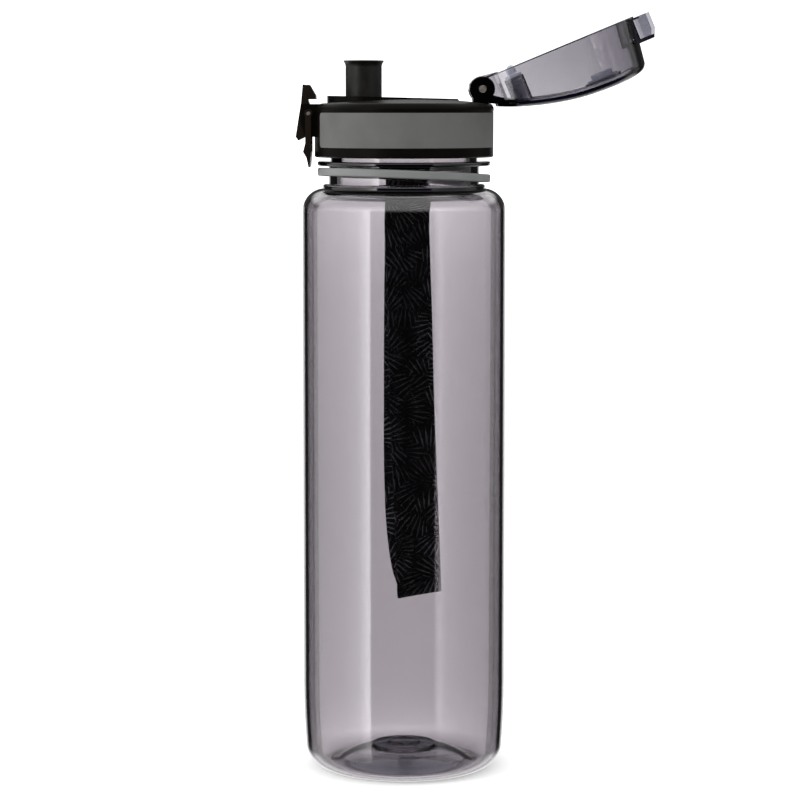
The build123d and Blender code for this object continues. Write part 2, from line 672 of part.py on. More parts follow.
def catch_block():
    """The block at the cover's tip, and the window and open front in it that the latch's hook goes into."""
    root_u = COVER_TIP_U - COVER_TIP_T - 0.5 * COVER_WALL
    shape = [(root_u, CATCH_LOW_V), (CATCH_U, CATCH_LOW_V), (CATCH_U, 0.5 * CATCH_TOP_V),
             (CATCH_U - CATCH_CHAMFER, CATCH_TOP_V), (root_u, CATCH_TOP_V)]
    half = CATCH_HALF_W - CATCH_WALL - FIT_GAP
    sill_v = CATCH_LOW_V + CATCH_SILL_T
    window = block(WINDOW_U, CATCH_U + OVERRUN, -half, half, sill_v, CATCH_TOP_V - CATCH_WALL)
    front = block(SILL_END_U, CATCH_U + OVERRUN, -half, half, CATCH_LOW_V - OVERRUN, sill_v)
    return slab(shape, CATCH_HALF_W), window + front


def cover_ears():
    """The two ears that turn on the hinge's pin, with the webs that join them to the cover's side walls."""
    web_u = NOTCH_U + 0.2 * COVER_WALL
    shape = [(0, -EAR_R), (web_u, COVER_RIM_V - 0.2 * COVER_WALL), (web_u, roof_v(NOTCH_U, 0.3 * COVER_ROOF_T)),
             (NOTCH_U - 0.5 * COVER_WALL, roof_v(NOTCH_U - 0.5 * COVER_WALL, 0.3 * COVER_ROOF_T)),
             on_arc((0, 0), EAR_R, 120)]
    return slab(shape, EAR_OUT_Y, EAR_IN_Y) + rod(0, 0, EAR_R, EAR_OUT_Y, EAR_IN_Y)


def cover_dome():
    """The clear flip cover with its ears, catch, vent socket and plug collar."""
    outer = soften_roof(cover_hull(False), COVER_EDGE_R)
    inner = soften_roof(cover_hull(True), COVER_EDGE_R - 0.6 * COVER_WALL)
    catch, window = catch_block()
    cover = outer + catch - inner
    cover -= block(-2 * EAR_R, NOTCH_U, -EAR_IN_Y, EAR_IN_Y, -2 * EAR_R, COVER_TALL)
    cover += cover_ears()
    roof_core = under_roof(0.5 * COVER_ROOF_T, COVER_RIM_V)
    cover += tube(VENT_SOCKET_R, VENT_STEM_R, VENT_SOCKET_V, COVER_TALL, VENT_U) & roof_core
    cover += tube(PLUG_R + PLUG_COLLAR_T, PLUG_R, PLUG_COLLAR_V, COVER_TALL, PLUG_U) & roof_core
    return cover - window - rod(0, 0, HINGE_PIN_R + RUN_GAP, 2 * EAR_OUT_Y)


def vent_plug():
    """The soft post that shuts the air hole: a ribbed stem in the socket, a flange and a round nose."""
    top = roof_v(VENT_U - VENT_STEM_R, COVER_ROOF_T) - SEAT_GAP
    flange_low = VENT_SOCKET_V - VENT_FLANGE_T
    grooves = []
    for i in range(2):
        low = VENT_SOCKET_V + VENT_RIB_PITCH * (1.15 + 2 * i)
        grooves += [(VENT_STEM_R, low), (VENT_STEM_R - VENT_RIB_DEPTH, low + VENT_RIB_DEPTH),
                    (VENT_STEM_R, low + 2 * VENT_RIB_DEPTH)]
    return Pos(VENT_U, 0, 0) * turned(
        (0, VENT_TIP_V),
        arc((0, VENT_TIP_V + VENT_NOSE_R), VENT_NOSE_R, -90, 0),
        (VENT_NOSE_R, flange_low - 0.6 * VENT_FLANGE_T),
        (VENT_STEM_R + VENT_FLANGE_W, flange_low),
        (VENT_STEM_R + VENT_FLANGE_W, VENT_SOCKET_V),
        (VENT_STEM_R, VENT_SOCKET_V),
        *grooves,
        (VENT_STEM_R, top),
        (0, top),
    )


def spout_plug():
    """The soft bung that shuts the spout, held in the collar under the roof."""
    body = Pos(PLUG_U, 0, 0) * turned(
        (0, BUNG_V),
        (BUNG_R - BUNG_CHAMFER, BUNG_V),
        (BUNG_R, BUNG_V + BUNG_CHAMFER),
        (BUNG_R, PLUG_FACE_V),
        (PLUG_R, PLUG_FACE_V),
        (PLUG_R, ROOF_TOP_V),
        (0, ROOF_TOP_V),
    )
    return body & under_roof(COVER_ROOF_T, COVER_RIM_V)


def on_cover(shape):
    """A piece of the cover, from its own frame to the open pose."""
    return cover_place().location * shape


# Lid

def closed_prism(tip_u, half_w, root_half, root_u, low_z, high_z):
    """The closed cover's outline from above, as an upright prism in the row."""
    prism = extrude(cover_plan(tip_u, half_w, root_half, root_u, 0), high_z - low_z)
    return Pos(HINGE_X, 0, low_z) * Rot(0, 0, 180) * prism


def above_rim(gap, high_z):
    """Everything above the closed rim's plane, lowered by gap."""
    near = closed_to_row(-2 * EAR_R, COVER_RIM_V - gap)
    far = closed_to_row(CATCH_U + CATCH_OUT, COVER_RIM_V - gap)
    return slab([far, near, (near[0], high_z), (far[0], high_z)], 2 * COVER_W)


def vent_x():
    """Where the vent's plug comes down on the lid."""
    return closed_to_row(VENT_U, VENT_TIP_V)[0]


def lid_band():
    """The inset band round the lid's side, open at the latch, with round corners."""
    ring = tube(LID_R, LID_R - BAND_T, BAND_LOW_Z, BAND_HIGH_Z)
    ring -= block(-2 * LID_R, 0, -BAND_GAP_Y, BAND_GAP_Y, BAND_LOW_Z - OVERRUN, BAND_HIGH_Z + OVERRUN)
    ends = [f for f in ring.faces() if f.center().X < -0.5 * LID_R and abs(f.normal_at().Y) > 0.99]
    corners = [e for f in ends for e in f.edges() if abs((e @ 0).Z - (e @ 1).Z) < 0.01 * BAND_T]
    return fillet(corners, BAND_CORNER_R)


def lid_shell():
    """The outer lid: skirt, crowned top with the cover's pocket, hinge lugs and latch ears."""
    crown_r = LID_R - LID_EDGE_IN
    high = HINGE_Z + 2 * EAR_R
    shell = turned(
        (LID_IN_R, LID_BOTTOM_Z),
        (LID_R - LID_FOOT_CHAMFER, LID_BOTTOM_Z),
        (LID_R, LID_BOTTOM_Z + LID_FOOT_CHAMFER),
        (LID_R, LID_EDGE_Z - LID_EDGE_DROP),
        ((LID_R - 0.15 * LID_EDGE_IN, LID_EDGE_Z - 0.35 * LID_EDGE_DROP), (crown_r, LID_EDGE_Z)),
        ((0.55 * crown_r, LID_EDGE_Z + LID_CROWN * (1 - 0.55 ** 2)), (0, LID_EDGE_Z + LID_CROWN)),
        (0, LINER_TOP_Z),
        (LID_IN_R, LINER_TOP_Z),
    )
    pocket = closed_prism(COVER_TIP_U + PART_GAP, COVER_W + PART_GAP, EAR_OUT_Y + PART_GAP, -2 * EAR_R,
                          LINER_TOP_Z, high)
    shell -= pocket & above_rim(SEAT_GAP, high)
    ear_room, catch_room = EAR_OUT_Y + PART_GAP, CATCH_HALF_W + PART_GAP
    shell -= block(RECESS_X, 2 * LID_R, -ear_room, ear_room, HINGE_Z - EAR_R - PART_GAP, high)
    notch_z = closed_to_row(CATCH_U, CATCH_LOW_V)[1] - PART_GAP
    shell -= block(-2 * LID_R, SPOUT_X - 2 * SPOUT_R, -catch_room, catch_room, notch_z, high)
    shell += hinge_lugs() + latch_ears()
    shell -= rod(HINGE_X, HINGE_Z, HINGE_PIN_R, 2 * LUG_OUT_Y)
    shell -= rod(LATCH_X, LATCH_Z, LATCH_PIN_R, 2 * LATCH_EAR_OUT_Y)
    shell -= tube(SPOUT_R, 0, LID_BOTTOM_Z, high, SPOUT_X)
    shell -= tube(AIR_HOLE_R, 0, LID_BOTTOM_Z, high, vent_x())
    shell -= tube(AIR_SEAT_R, 0, AIR_SEAT_Z, high, vent_x())
    return shell - lid_band()


def hinge_lugs():
    """The two lugs that hold the cover's pin, down to the lid's top."""
    foot_z = LINER_TOP_Z + 0.25 * LINER_RIB_H
    shape = [(HINGE_X - LUG_R, HINGE_Z), (HINGE_X - 0.85 * LUG_R, foot_z), (HINGE_X + 0.5 * LUG_R, foot_z),
             (HINGE_X + LUG_R, HINGE_Z)]
    return slab(shape, LUG_OUT_Y, LUG_IN_Y) + rod(HINGE_X, HINGE_Z, LUG_R, LUG_OUT_Y, LUG_IN_Y)


def latch_ears():
    """The two plates on the lid's side that hold the latch's pin."""
    front, back = LATCH_X - EAR_PLATE_OUT, LATCH_X + EAR_PLATE_OUT + BAIL_FRONT
    high, low = LATCH_Z + EAR_PLATE_UP, LATCH_Z - EAR_PLATE_DOWN
    plate = [(front, high), (front, LATCH_Z - EAR_PLATE_BEND_SHARE * EAR_PLATE_DOWN),
             (LATCH_X - EAR_PLATE_FOOT_SHARE * EAR_PLATE_DOWN, low), (back, low), (back, high)]
    return slab(plate, LATCH_EAR_OUT_Y, LATCH_EAR_IN_Y) - tube(LID_IN_R, 0, LID_BOTTOM_Z, LID_EDGE_Z)


def lid_deck():
    """The raised deck inside the closed cover's outline, sloping down towards the hinge."""
    tip_u = COVER_TIP_U - COVER_TIP_T - DECK_INSET
    prism = closed_prism(tip_u, COVER_W - COVER_WALL - DECK_INSET, EAR_OUT_Y - COVER_WALL - DECK_INSET,
                         DECK_ROOT_U, LINER_TOP_Z, HINGE_Z)
    low_left = closed_to_row(tip_u + DECK_INSET, COVER_RIM_V - SEAT_GAP)
    low_right = closed_to_row(DECK_END_IN, COVER_RIM_V - SEAT_GAP)
    wedge = slab([low_left, low_right, (low_right[0], DECK_RIGHT_Z), (low_left[0], DECK_LEFT_Z)], COVER_W)
    deck = prism & wedge
    deck -= tube(SPOUT_R, 0, LINER_TOP_Z, HINGE_Z, SPOUT_X)
    return deck - tube(AIR_SEAT_R, 0, LINER_TOP_Z, HINGE_Z, vent_x())


def spout():
    """The drinking spout: a straight tube with a flared mouth and a foot held under the lid's top."""
    flare = (SPOUT_R + 0.5 * SPOUT_LIP, SPOUT_TOP_Z - 0.45 * SPOUT_FLARE_H)
    return Pos(SPOUT_X, 0, 0) * turned(
        (SPOUT_BORE_R, DISC_LOW_Z),
        (SPOUT_FOOT_R, DISC_LOW_Z),
        (SPOUT_FOOT_R, LINER_TOP_Z),
        (SPOUT_R, LINER_TOP_Z),
        (SPOUT_R, SPOUT_TOP_Z - SPOUT_FLARE_H),
        (flare, (SPOUT_MOUTH_R, SPOUT_TOP_Z - SPOUT_LIP)),
        arc((SPOUT_MOUTH_R - SPOUT_LIP, SPOUT_TOP_Z - SPOUT_LIP), SPOUT_LIP, 0, 90),
        (SPOUT_BORE_R + 2 * SPOUT_LIP, SPOUT_TOP_Z),
        (SPOUT_BORE_R, SPOUT_TOP_Z - 3 * SPOUT_LIP),
    )


def lid_liner():
    """The threaded liner inside the shell: disc, skirt, thread and the sleeve that holds the strainer."""
    liner = turned(
        (0, LINER_TOP_Z),
        (LINER_R, LINER_TOP_Z),
        (LINER_R, LINER_BOTTOM_Z),
        (LINER_IN_R, LINER_BOTTOM_Z),
        (LINER_IN_R, DISC_LOW_Z),
        (0, DISC_LOW_Z),
    )
    liner += tube(SLEEVE_R + COLLAR_T, SLEEVE_R, DISC_LOW_Z - COLLAR_DROP, DISC_LOW_Z)
    mesh = 0.88 * (THREAD_ROOT_W + THREAD_CREST_W) / 2 + THREAD_FLANK_GAP
    liner += thread(LINER_IN_R, NECK_THREAD_Z - mesh, outward=False)
    seat_r = LINER_IN_R + 0.5 * LINER_WALL
    for rib_low in (LINER_TOP_Z - 1.5 * LINER_RIB_H, LINER_BOTTOM_Z):
        liner += tube(LID_IN_R, seat_r, rib_low, rib_low + LINER_RIB_H)
    liner -= tube(SPOUT_FOOT_R, 0, DISC_LOW_Z - OVERRUN, LINER_TOP_Z + OVERRUN, SPOUT_X)
    return liner - tube(AIR_HOLE_R, 0, DISC_LOW_Z - OVERRUN, LINER_TOP_Z + OVERRUN, vent_x())


def vent_valve():
    """The soft flap valve under the air hole."""
    x, foot_z = vent_x(), DISC_LOW_Z - VALVE_H
    valve = Pos(x, 0, 0) * turned(
        (0, DISC_LOW_Z),
        (VALVE_R, DISC_LOW_Z),
        (VALVE_R, DISC_LOW_Z - 0.35 * VALVE_H),
        (0.75 * AIR_HOLE_R, foot_z),
        (0, foot_z),
    )
    slit_half, lip_half = VALVE_SLIT / 2, 0.5 * AIR_HOLE_R
    slit = block(x - lip_half, x + lip_half, -slit_half, slit_half, foot_z - OVERRUN, foot_z + 0.5 * VALVE_H)
    return valve - slit - tube(0.6 * AIR_HOLE_R, 0, foot_z + 0.3 * VALVE_H, DISC_LOW_Z + OVERRUN, x)


def lid_gasket():
    """The soft ring between the neck's rim and the liner."""
    mid = FINISH_R - NECK_WALL / 2
    low = RIM_Z + SEAT_GAP
    return tube(mid + GASKET_W / 2, mid - GASKET_W / 2, low, low + GASKET_T)


def hinge_pin():
    """The cover's steel pin, from ear to ear."""
    return rod(HINGE_X, HINGE_Z, HINGE_PIN_R, EAR_OUT_Y)


def hinge_spring():
    """The spring that throws the cover open: one leg on the lid, one under the cover's roof."""
    a = radians(OPEN_DEG)
    rest = HINGE_WIRE_R + LEG_END_GAP
    u = NOTCH_U + HINGE_LEG_PAST
    v = roof_v(u, COVER_ROOF_T) - 2 * rest
    cover_end = (u * cos(a) + v * sin(a), u * sin(a) - v * cos(a))
    lid_end = (-HINGE_COIL_R - HINGE_WIRE_R, rest - EAR_R - PART_GAP)
    legs = (tangent_leg(HINGE_COIL_R, lid_end, 1), tangent_leg(HINGE_COIL_R, cover_end, -1))
    return coil_spring("hinge_spring", HINGE_X, HINGE_Z, HINGE_COIL_R, HINGE_WIRE_R, HINGE_COILS,
                       HINGE_COIL_PITCH, legs)


# Latch

def latch_outline():
    """The lever's side view: a hook just above the shut catch's sill, and a press tab below the pin."""
    hook_z = closed_to_row(SILL_END_U, CATCH_LOW_V + CATCH_SILL_T)[1] + HOOK_GAP
    hook = [(LATCH_X + x * HOOK_H, hook_z + z * HOOK_H) for x, z in HOOK_SHARES]
    tab = [(LATCH_X + x * TAB_H, LATCH_Z + z * TAB_H) for x, z in TAB_SHARES]
    return hook + tab


def latch_lever():
    """The latch: a hook above the pin and a press tab below it, with a bay for its spring."""
    lever = slab(latch_outline(), LATCH_HALF_W) + rod(LATCH_X, LATCH_Z, LATCH_HUB_R, LATCH_HALF_W)
    lever -= block(LATCH_X - SPRING_BAY_OUT, LATCH_X + 2 * SPRING_BAY_H, -SPRING_BAY_Y, SPRING_BAY_Y,
                   LATCH_Z - SPRING_BAY_H, LATCH_Z + SPRING_BAY_H)
    return lever - rod(LATCH_X, LATCH_Z, LATCH_PIN_R + RUN_GAP, 2 * LATCH_HALF_W)


def latch_pin():
    """The latch's steel pin, from one bail leg to the other."""
    return rod(LATCH_X, LATCH_Z, LATCH_PIN_R, BAIL_OUT_Y + LATCH_PIN_END)


def latch_spring():
    """The small spring that holds the hook in: one leg on the tab, one on the lid's side."""
    wall = (-LID_R - LATCH_X) - LATCH_WIRE_R - LEG_END_GAP
    tab_end = (0.26 * LATCH_COIL_R, -0.4 * TAB_H)
    lid_end = (wall, wall)
    legs = (tangent_leg(LATCH_COIL_R, tab_end, 1), tangent_leg(LATCH_COIL_R, lid_end, -1))
    return coil_spring("latch_spring", LATCH_X, LATCH_Z, LATCH_COIL_R, LATCH_WIRE_R, LATCH_COILS,
                       LATCH_COIL_PITCH, legs)


def bail_reach():
    """How far from the latch's pin the bail's cross piece must lie to swing over the shut catch."""
    corners = [(CATCH_U - CATCH_CHAMFER, CATCH_TOP_V), (CATCH_U, 0.5 * CATCH_TOP_V), (CATCH_U, CATCH_LOW_V)]
    return max(dist(closed_to_row(u, v), (LATCH_X, LATCH_Z)) for u, v in corners) + BAIL_GAP


def lock_bail():
    """The stirrup that swings up over the catch: two legs and a cross piece."""
    cross = bail_reach()
    bend, tip = cross - 0.55 * BAIL_TIP, cross + BAIL_TIP
    shape = [(-BAIL_FRONT, 0), (-BAIL_FRONT, -bend), (-1.7 * BAIL_FRONT, -cross),
             (-0.6 * BAIL_FRONT, -cross - 0.4 * BAIL_TIP), (0, -tip), (0.5 * BAIL_BACK, -tip), (BAIL_BACK, -cross),
             (BAIL_BACK, 0)]
    bail = slab([(LATCH_X + x, LATCH_Z + z) for x, z in shape], BAIL_OUT_Y)
    bail += rod(LATCH_X, LATCH_Z, BAIL_HEAD_R, BAIL_OUT_Y)
    room = BAIL_HEAD_R + 2 * BAIL_FRONT
    bail -= block(LATCH_X - room, LATCH_X + room, -BAIL_IN_Y, BAIL_IN_Y, LATCH_Z - cross, LATCH_Z + room)
    return bail - rod(LATCH_X, LATCH_Z, LATCH_PIN_R + RUN_GAP, 2 * BAIL_OUT_Y)


# Strainer

def strainer_cup():
    """The shallow infuser cup that hangs in the liner's sleeve, with slots round it and holes in its floor."""
    top = DISC_LOW_Z - SEAT_GAP
    cup = tube(CUP_R, 0, CUP_BOTTOM_Z, top) - tube(CUP_R - CUP_WALL, 0, CUP_BOTTOM_Z + CUP_WALL, top + OVERRUN)
    slot_low, slot_high = CUP_BOTTOM_Z + 2 * CUP_WALL, DISC_LOW_Z - COLLAR_DROP - SLOT_BELOW_COLLAR
    slot = block(CUP_R - 2 * CUP_WALL, CUP_R + OVERRUN, -SLOT_W / 2, SLOT_W / 2, slot_low, slot_high)
    cup -= [Rot(0, 0, 360 * i / CUP_SLOTS) * slot for i in range(CUP_SLOTS)]
    for row, count in enumerate(CUP_HOLE_COUNTS):
        for i in range(count):
            x, y = on_arc((0, 0), row * CUP_HOLE_PITCH, 360 * i / count)
            cup -= tube(CUP_HOLE_R, 0, CUP_BOTTOM_Z - OVERRUN, CUP_BOTTOM_Z + CUP_WALL + OVERRUN, x, y)
    return cup


NODES = {
    "bottle_body": bottle_body,
    "neck_ring": neck_ring,
    "carry_strap": carry_strap,
    "strap_bartack": strap_bartack,
    "lid_gasket": lid_gasket,
    "lid_shell": lid_shell,
    "lid_liner": lid_liner,
    "lid_band": lid_band,
    "lid_deck": lid_deck,
    "spout": spout,
    "vent_valve": vent_valve,
    "hinge_pin": hinge_pin,
    "hinge_spring": hinge_spring,
    "latch_pin": latch_pin,
    "latch_spring": latch_spring,
    "cover_dome": lambda: on_cover(cover_dome()),
    "spout_plug": lambda: on_cover(spout_plug()),
    "vent_plug": lambda: on_cover(vent_plug()),
    "latch_lever": latch_lever,
    "lock_bail": lock_bail,
    "strainer_cup": strainer_cup,
}

for name, make in NODES.items():
    piece = make()
    print(f"{name}: {len(piece.solids())} solid, volume {piece.volume:.1f}, valid {piece.is_valid}")
    export_step(piece, f"parts/{name}.step")
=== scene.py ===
"""The looks of a one litre clear bottle with a screw lid, a flip cover and a carrying loop.

Metres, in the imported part's frame: the origin is the centre of the foot, +Z is up, the cover's hinge is
at +X, its latch at -X and the carrying loop hangs at +Y.
"""

import json
import logging
import math
from dataclasses import dataclass
from enum import Enum

import bmesh
import bpy
import numpy as np
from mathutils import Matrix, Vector

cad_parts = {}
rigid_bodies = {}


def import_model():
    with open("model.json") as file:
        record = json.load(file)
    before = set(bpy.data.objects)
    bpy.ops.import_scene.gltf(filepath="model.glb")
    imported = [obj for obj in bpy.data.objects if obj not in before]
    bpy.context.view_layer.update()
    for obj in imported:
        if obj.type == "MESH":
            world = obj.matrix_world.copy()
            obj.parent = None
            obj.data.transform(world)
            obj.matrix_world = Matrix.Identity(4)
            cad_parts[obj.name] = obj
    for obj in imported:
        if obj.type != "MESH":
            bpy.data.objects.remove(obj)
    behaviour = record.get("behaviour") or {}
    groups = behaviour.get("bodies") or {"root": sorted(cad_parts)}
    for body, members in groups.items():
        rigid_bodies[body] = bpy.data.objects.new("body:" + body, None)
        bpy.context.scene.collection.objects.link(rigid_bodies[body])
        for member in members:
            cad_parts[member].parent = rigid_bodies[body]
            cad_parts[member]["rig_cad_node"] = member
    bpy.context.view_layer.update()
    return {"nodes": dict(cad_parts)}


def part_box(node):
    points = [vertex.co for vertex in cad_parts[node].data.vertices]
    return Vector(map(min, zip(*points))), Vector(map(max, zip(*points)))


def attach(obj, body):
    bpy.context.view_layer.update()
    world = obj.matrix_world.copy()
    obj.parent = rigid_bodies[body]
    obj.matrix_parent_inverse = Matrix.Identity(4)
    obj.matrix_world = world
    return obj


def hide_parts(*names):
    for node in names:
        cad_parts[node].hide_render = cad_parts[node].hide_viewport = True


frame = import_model()

log = logging.getLogger("bottle")
Colour = tuple[float, float, float]


class Slot(Enum):
    """The record's material slots."""

    BOTTLE = "bottle_clear"
    COVER = "cover_clear"
    PLUG = "plug_clear"
    LID = "lid_black"
    LATCH = "latch_black"
    BAND = "band_grey"
    RING = "ring_grey"
    WEBBING = "webbing"
    STITCHING = "stitching"
    SPOUT = "spout_black"
    RUBBER = "seal_rubber"
    PIN = "pin_steel"
    SPRING = "spring_steel"
    STRAINER = "strainer_plastic"


def srgb(red: int, green: int, blue: int) -> Colour:
    """Linear colour of a screen colour of 0 to 255, by the usual power law with a straight foot."""
    shares = np.array([red, green, blue]) / 255
    linear = np.where(shares <= 0.04045, shares / 12.92, ((shares + 0.055) / 1.055) ** 2.4)
    return tuple(float(x) for x in linear)


def grey(value: float) -> Colour:
    """A colour with no hue."""
    return (value, value, value)


class ShaderTree:
    """A short way to add and join the nodes of one node tree."""

    def __init__(self, tree: bpy.types.NodeTree) -> None:
        """Keeps the tree and empties it.

        Args:
            tree: The material's or the world's node tree.
        """
        self.tree = tree
        self.tree.nodes.clear()

    def add(self, kind: str, sockets: dict | None = None, **settings: object) -> bpy.types.Node:
        """Adds a node.

        Args:
            kind: Blender's name for the node without its ShaderNode prefix.
            sockets: Values or output sockets for the inputs, by input name or number.
            settings: The node's own settings.

        Returns:
            The new node.
        """
        node = self.tree.nodes.new("ShaderNode" + kind)
        for name, value in settings.items():
            setattr(node, name, value)
        for name, value in (sockets or {}).items():
            if isinstance(value, bpy.types.NodeSocket):
                self.tree.links.new(value, node.inputs[name])
            elif isinstance(value, tuple) and len(value) == 3 and len(node.inputs[name].default_value) == 4:
                node.inputs[name].default_value = (*value, 1.0)
            else:
                node.inputs[name].default_value = value
        return node

    def maths(self, operation: str, *values: object) -> bpy.types.NodeSocket:
        """A Math node's result.

        Args:
            operation: The Math node's operation.
            values: One to three numbers or sockets.

        Returns:
            The result's socket.
        """
        return self.add("Math", dict(enumerate(values)), operation=operation).outputs[0]

    def times(self, first: object, second: object) -> bpy.types.NodeSocket:
        """The product of two numbers or sockets."""
        return self.maths("MULTIPLY", first, second)

    def away(self, value: bpy.types.NodeSocket, middle: float) -> bpy.types.NodeSocket:
        """How far a value is from a middle, on either side of it."""
        return self.maths("ABSOLUTE", self.maths("SUBTRACT", value, middle))

    def vector(self, operation: str, *values: object) -> bpy.types.NodeSocket:
        """A Vector Math node's vector, for an operation on one or two vectors."""
        return self.add("VectorMath", dict(enumerate(values)), operation=operation).outputs[0]

    def length(self, vector: bpy.types.NodeSocket) -> bpy.types.NodeSocket:
        """A vector's length."""
        return self.add("VectorMath", {0: vector}, operation="LENGTH").outputs["Value"]

    def parts(self, vector: bpy.types.NodeSocket) -> bpy.types.NodeOutputs:
        """A vector's three parts."""
        return self.add("SeparateXYZ", {"Vector": vector}).outputs

    def ramp(self, factor: bpy.types.NodeSocket, stops: tuple[tuple[float, float], ...],
             smooth: bool = False) -> bpy.types.NodeSocket:
        """A ramp of greys.

        Args:
            factor: What it reads, from 0 to 1.
            stops: Place and brightness of each stop.
            smooth: Whether they ease into each other.

        Returns:
            The grey's socket.
        """
        node = self.add("ValToRGB", {"Fac": factor})
        band = node.color_ramp
        band.interpolation = "EASE" if smooth else "LINEAR"
        while len(band.elements) < len(stops):
            band.elements.new(1.0)
        for element, (place, value) in zip(band.elements, stops):
            element.position = place
            element.color = (*grey(value), 1.0)
        return node.outputs["Color"]

    def mix(self, factor: object, first: object, second: object) -> bpy.types.NodeSocket:
        """The colour between two colours.

        Args:
            factor: 0 for the first and 1 for the second.
            first: A colour or socket.
            second: A colour or socket.

        Returns:
            The colour's socket.
        """
        node = self.add("Mix", data_type="RGBA")
        for number, value in ((0, factor), (6, first), (7, second)):
            if isinstance(value, bpy.types.NodeSocket):
                self.tree.links.new(value, node.inputs[number])
            else:
                node.inputs[number].default_value = value if number == 0 else (*value, 1.0)
        return node.outputs[2]

    def stained(self, first: bpy.types.NodeSocket, second: bpy.types.NodeSocket) -> bpy.types.NodeSocket:
        """The product of two colours."""
        return self.add("MixRGB", {"Fac": 1.0, "Color1": first, "Color2": second},
                        blend_type="MULTIPLY").outputs[0]

    def object_place(self) -> bpy.types.NodeSocket:
        """Object coordinates."""
        return self.add("TexCoord").outputs["Object"]

    def noise(self, place: bpy.types.NodeSocket, scale: float, detail: float = 2.0) -> bpy.types.NodeSocket:
        """Cloudy values about one half.

        Args:
            place: Where it is read.
            scale: Clouds per metre, roughly.
            detail: How many finer layers lie on it.

        Returns:
            The value's socket.
        """
        return self.add("TexNoise", {"Vector": place, "Scale": scale, "Detail": detail}).outputs["Fac"]

    def step(self, value: bpy.types.NodeSocket, low: float, high: float) -> bpy.types.NodeSocket:
        """How far a value is on its way from one number to another, kept between 0 and 1.

        Args:
            value: What is measured.
            low: Where it starts; it may be above the end.
            high: Where it ends.

        Returns:
            The share's socket.
        """
        return self.add("MapRange", {"Value": value, "From Min": low, "From Max": high}).outputs[0]

    def within(self, value: bpy.types.NodeSocket, low: float, high: float,
               blur: float) -> bpy.types.NodeSocket:
        """1 from one number to another and 0 beyond them, with blurred ends."""
        return self.times(self.step(value, low - blur, low), self.step(value, high + blur, high))

    def dot(self, vector: bpy.types.NodeSocket, way: object) -> bpy.types.NodeSocket:
        """The length of a vector along a direction: the sum of the products of their parts."""
        return self.add("VectorMath", {0: vector, 1: way}, operation="DOT_PRODUCT").outputs["Value"]

    def facing(self) -> bpy.types.NodeSocket:
        """How far the surface turns away from the eye: 0 square on and 1 edge on."""
        return self.add("LayerWeight", {"Blend": 0.5}).outputs["Facing"]

    def outward(self) -> bpy.types.NodeSocket:
        """The surface's own normal, on whichever side it is seen, in the piece's own directions."""
        behind = self.add("NewGeometry").outputs["Backfacing"]
        side = self.maths("MULTIPLY_ADD", behind, -2.0, 1.0)
        return self.add("VectorMath", {0: self.add("TexCoord").outputs["Normal"], "Scale": side},
                        operation="SCALE").outputs[0]

    def bump(self, height: bpy.types.NodeSocket, distance: float, strength: float = 1.0,
             under: bpy.types.NodeSocket | None = None) -> bpy.types.NodeSocket:
        """A normal bent by a height.

        Args:
            height: The height's socket.
            distance: The height's size in metres.
            strength: How much of it shows.
            under: A normal that it adds to.

        Returns:
            The normal's socket.
        """
        sockets = {"Height": height, "Distance": distance, "Strength": strength}
        if under is not None:
            sockets["Normal"] = under
        return self.add("Bump", sockets).outputs["Normal"]

    def finish(self, sockets: dict, inside: bpy.types.NodeSocket | None = None) -> None:
        """Joins a Principled shader to the material's output.

        Args:
            sockets: The shader's inputs.
            inside: The volume shader's socket, for a clear solid.
        """
        shader = self.add("BsdfPrincipled", sockets).outputs[0]
        self.add("OutputMaterial", {"Surface": shader} | ({} if inside is None else {"Volume": inside}))


def blank_material(name: str) -> tuple[bpy.types.Material, ShaderTree]:
    """A new material and its emptied tree.

    Args:
        name: The material's name.

    Returns:
        The material and its tree.
    """
    made = bpy.data.materials.new(name)
    made.use_nodes = True
    return made, ShaderTree(made.node_tree)


@dataclass(frozen=True)
class Finish:
    """What every finish has, and how it becomes a material.

    Attributes:
        name: The material's name.
        slot: The record's slot that it dresses.
    """

    name: str
    slot: Slot

    def paint(self, tree: ShaderTree) -> None:
        """Lays the finish's nodes in an empty tree.

        Args:
            tree: The material's tree.
        """
        raise NotImplementedError

    def material(self) -> bpy.types.Material:
        """The finish as a new material."""
        made, tree = blank_material(self.name)
        self.paint(tree)
        return made


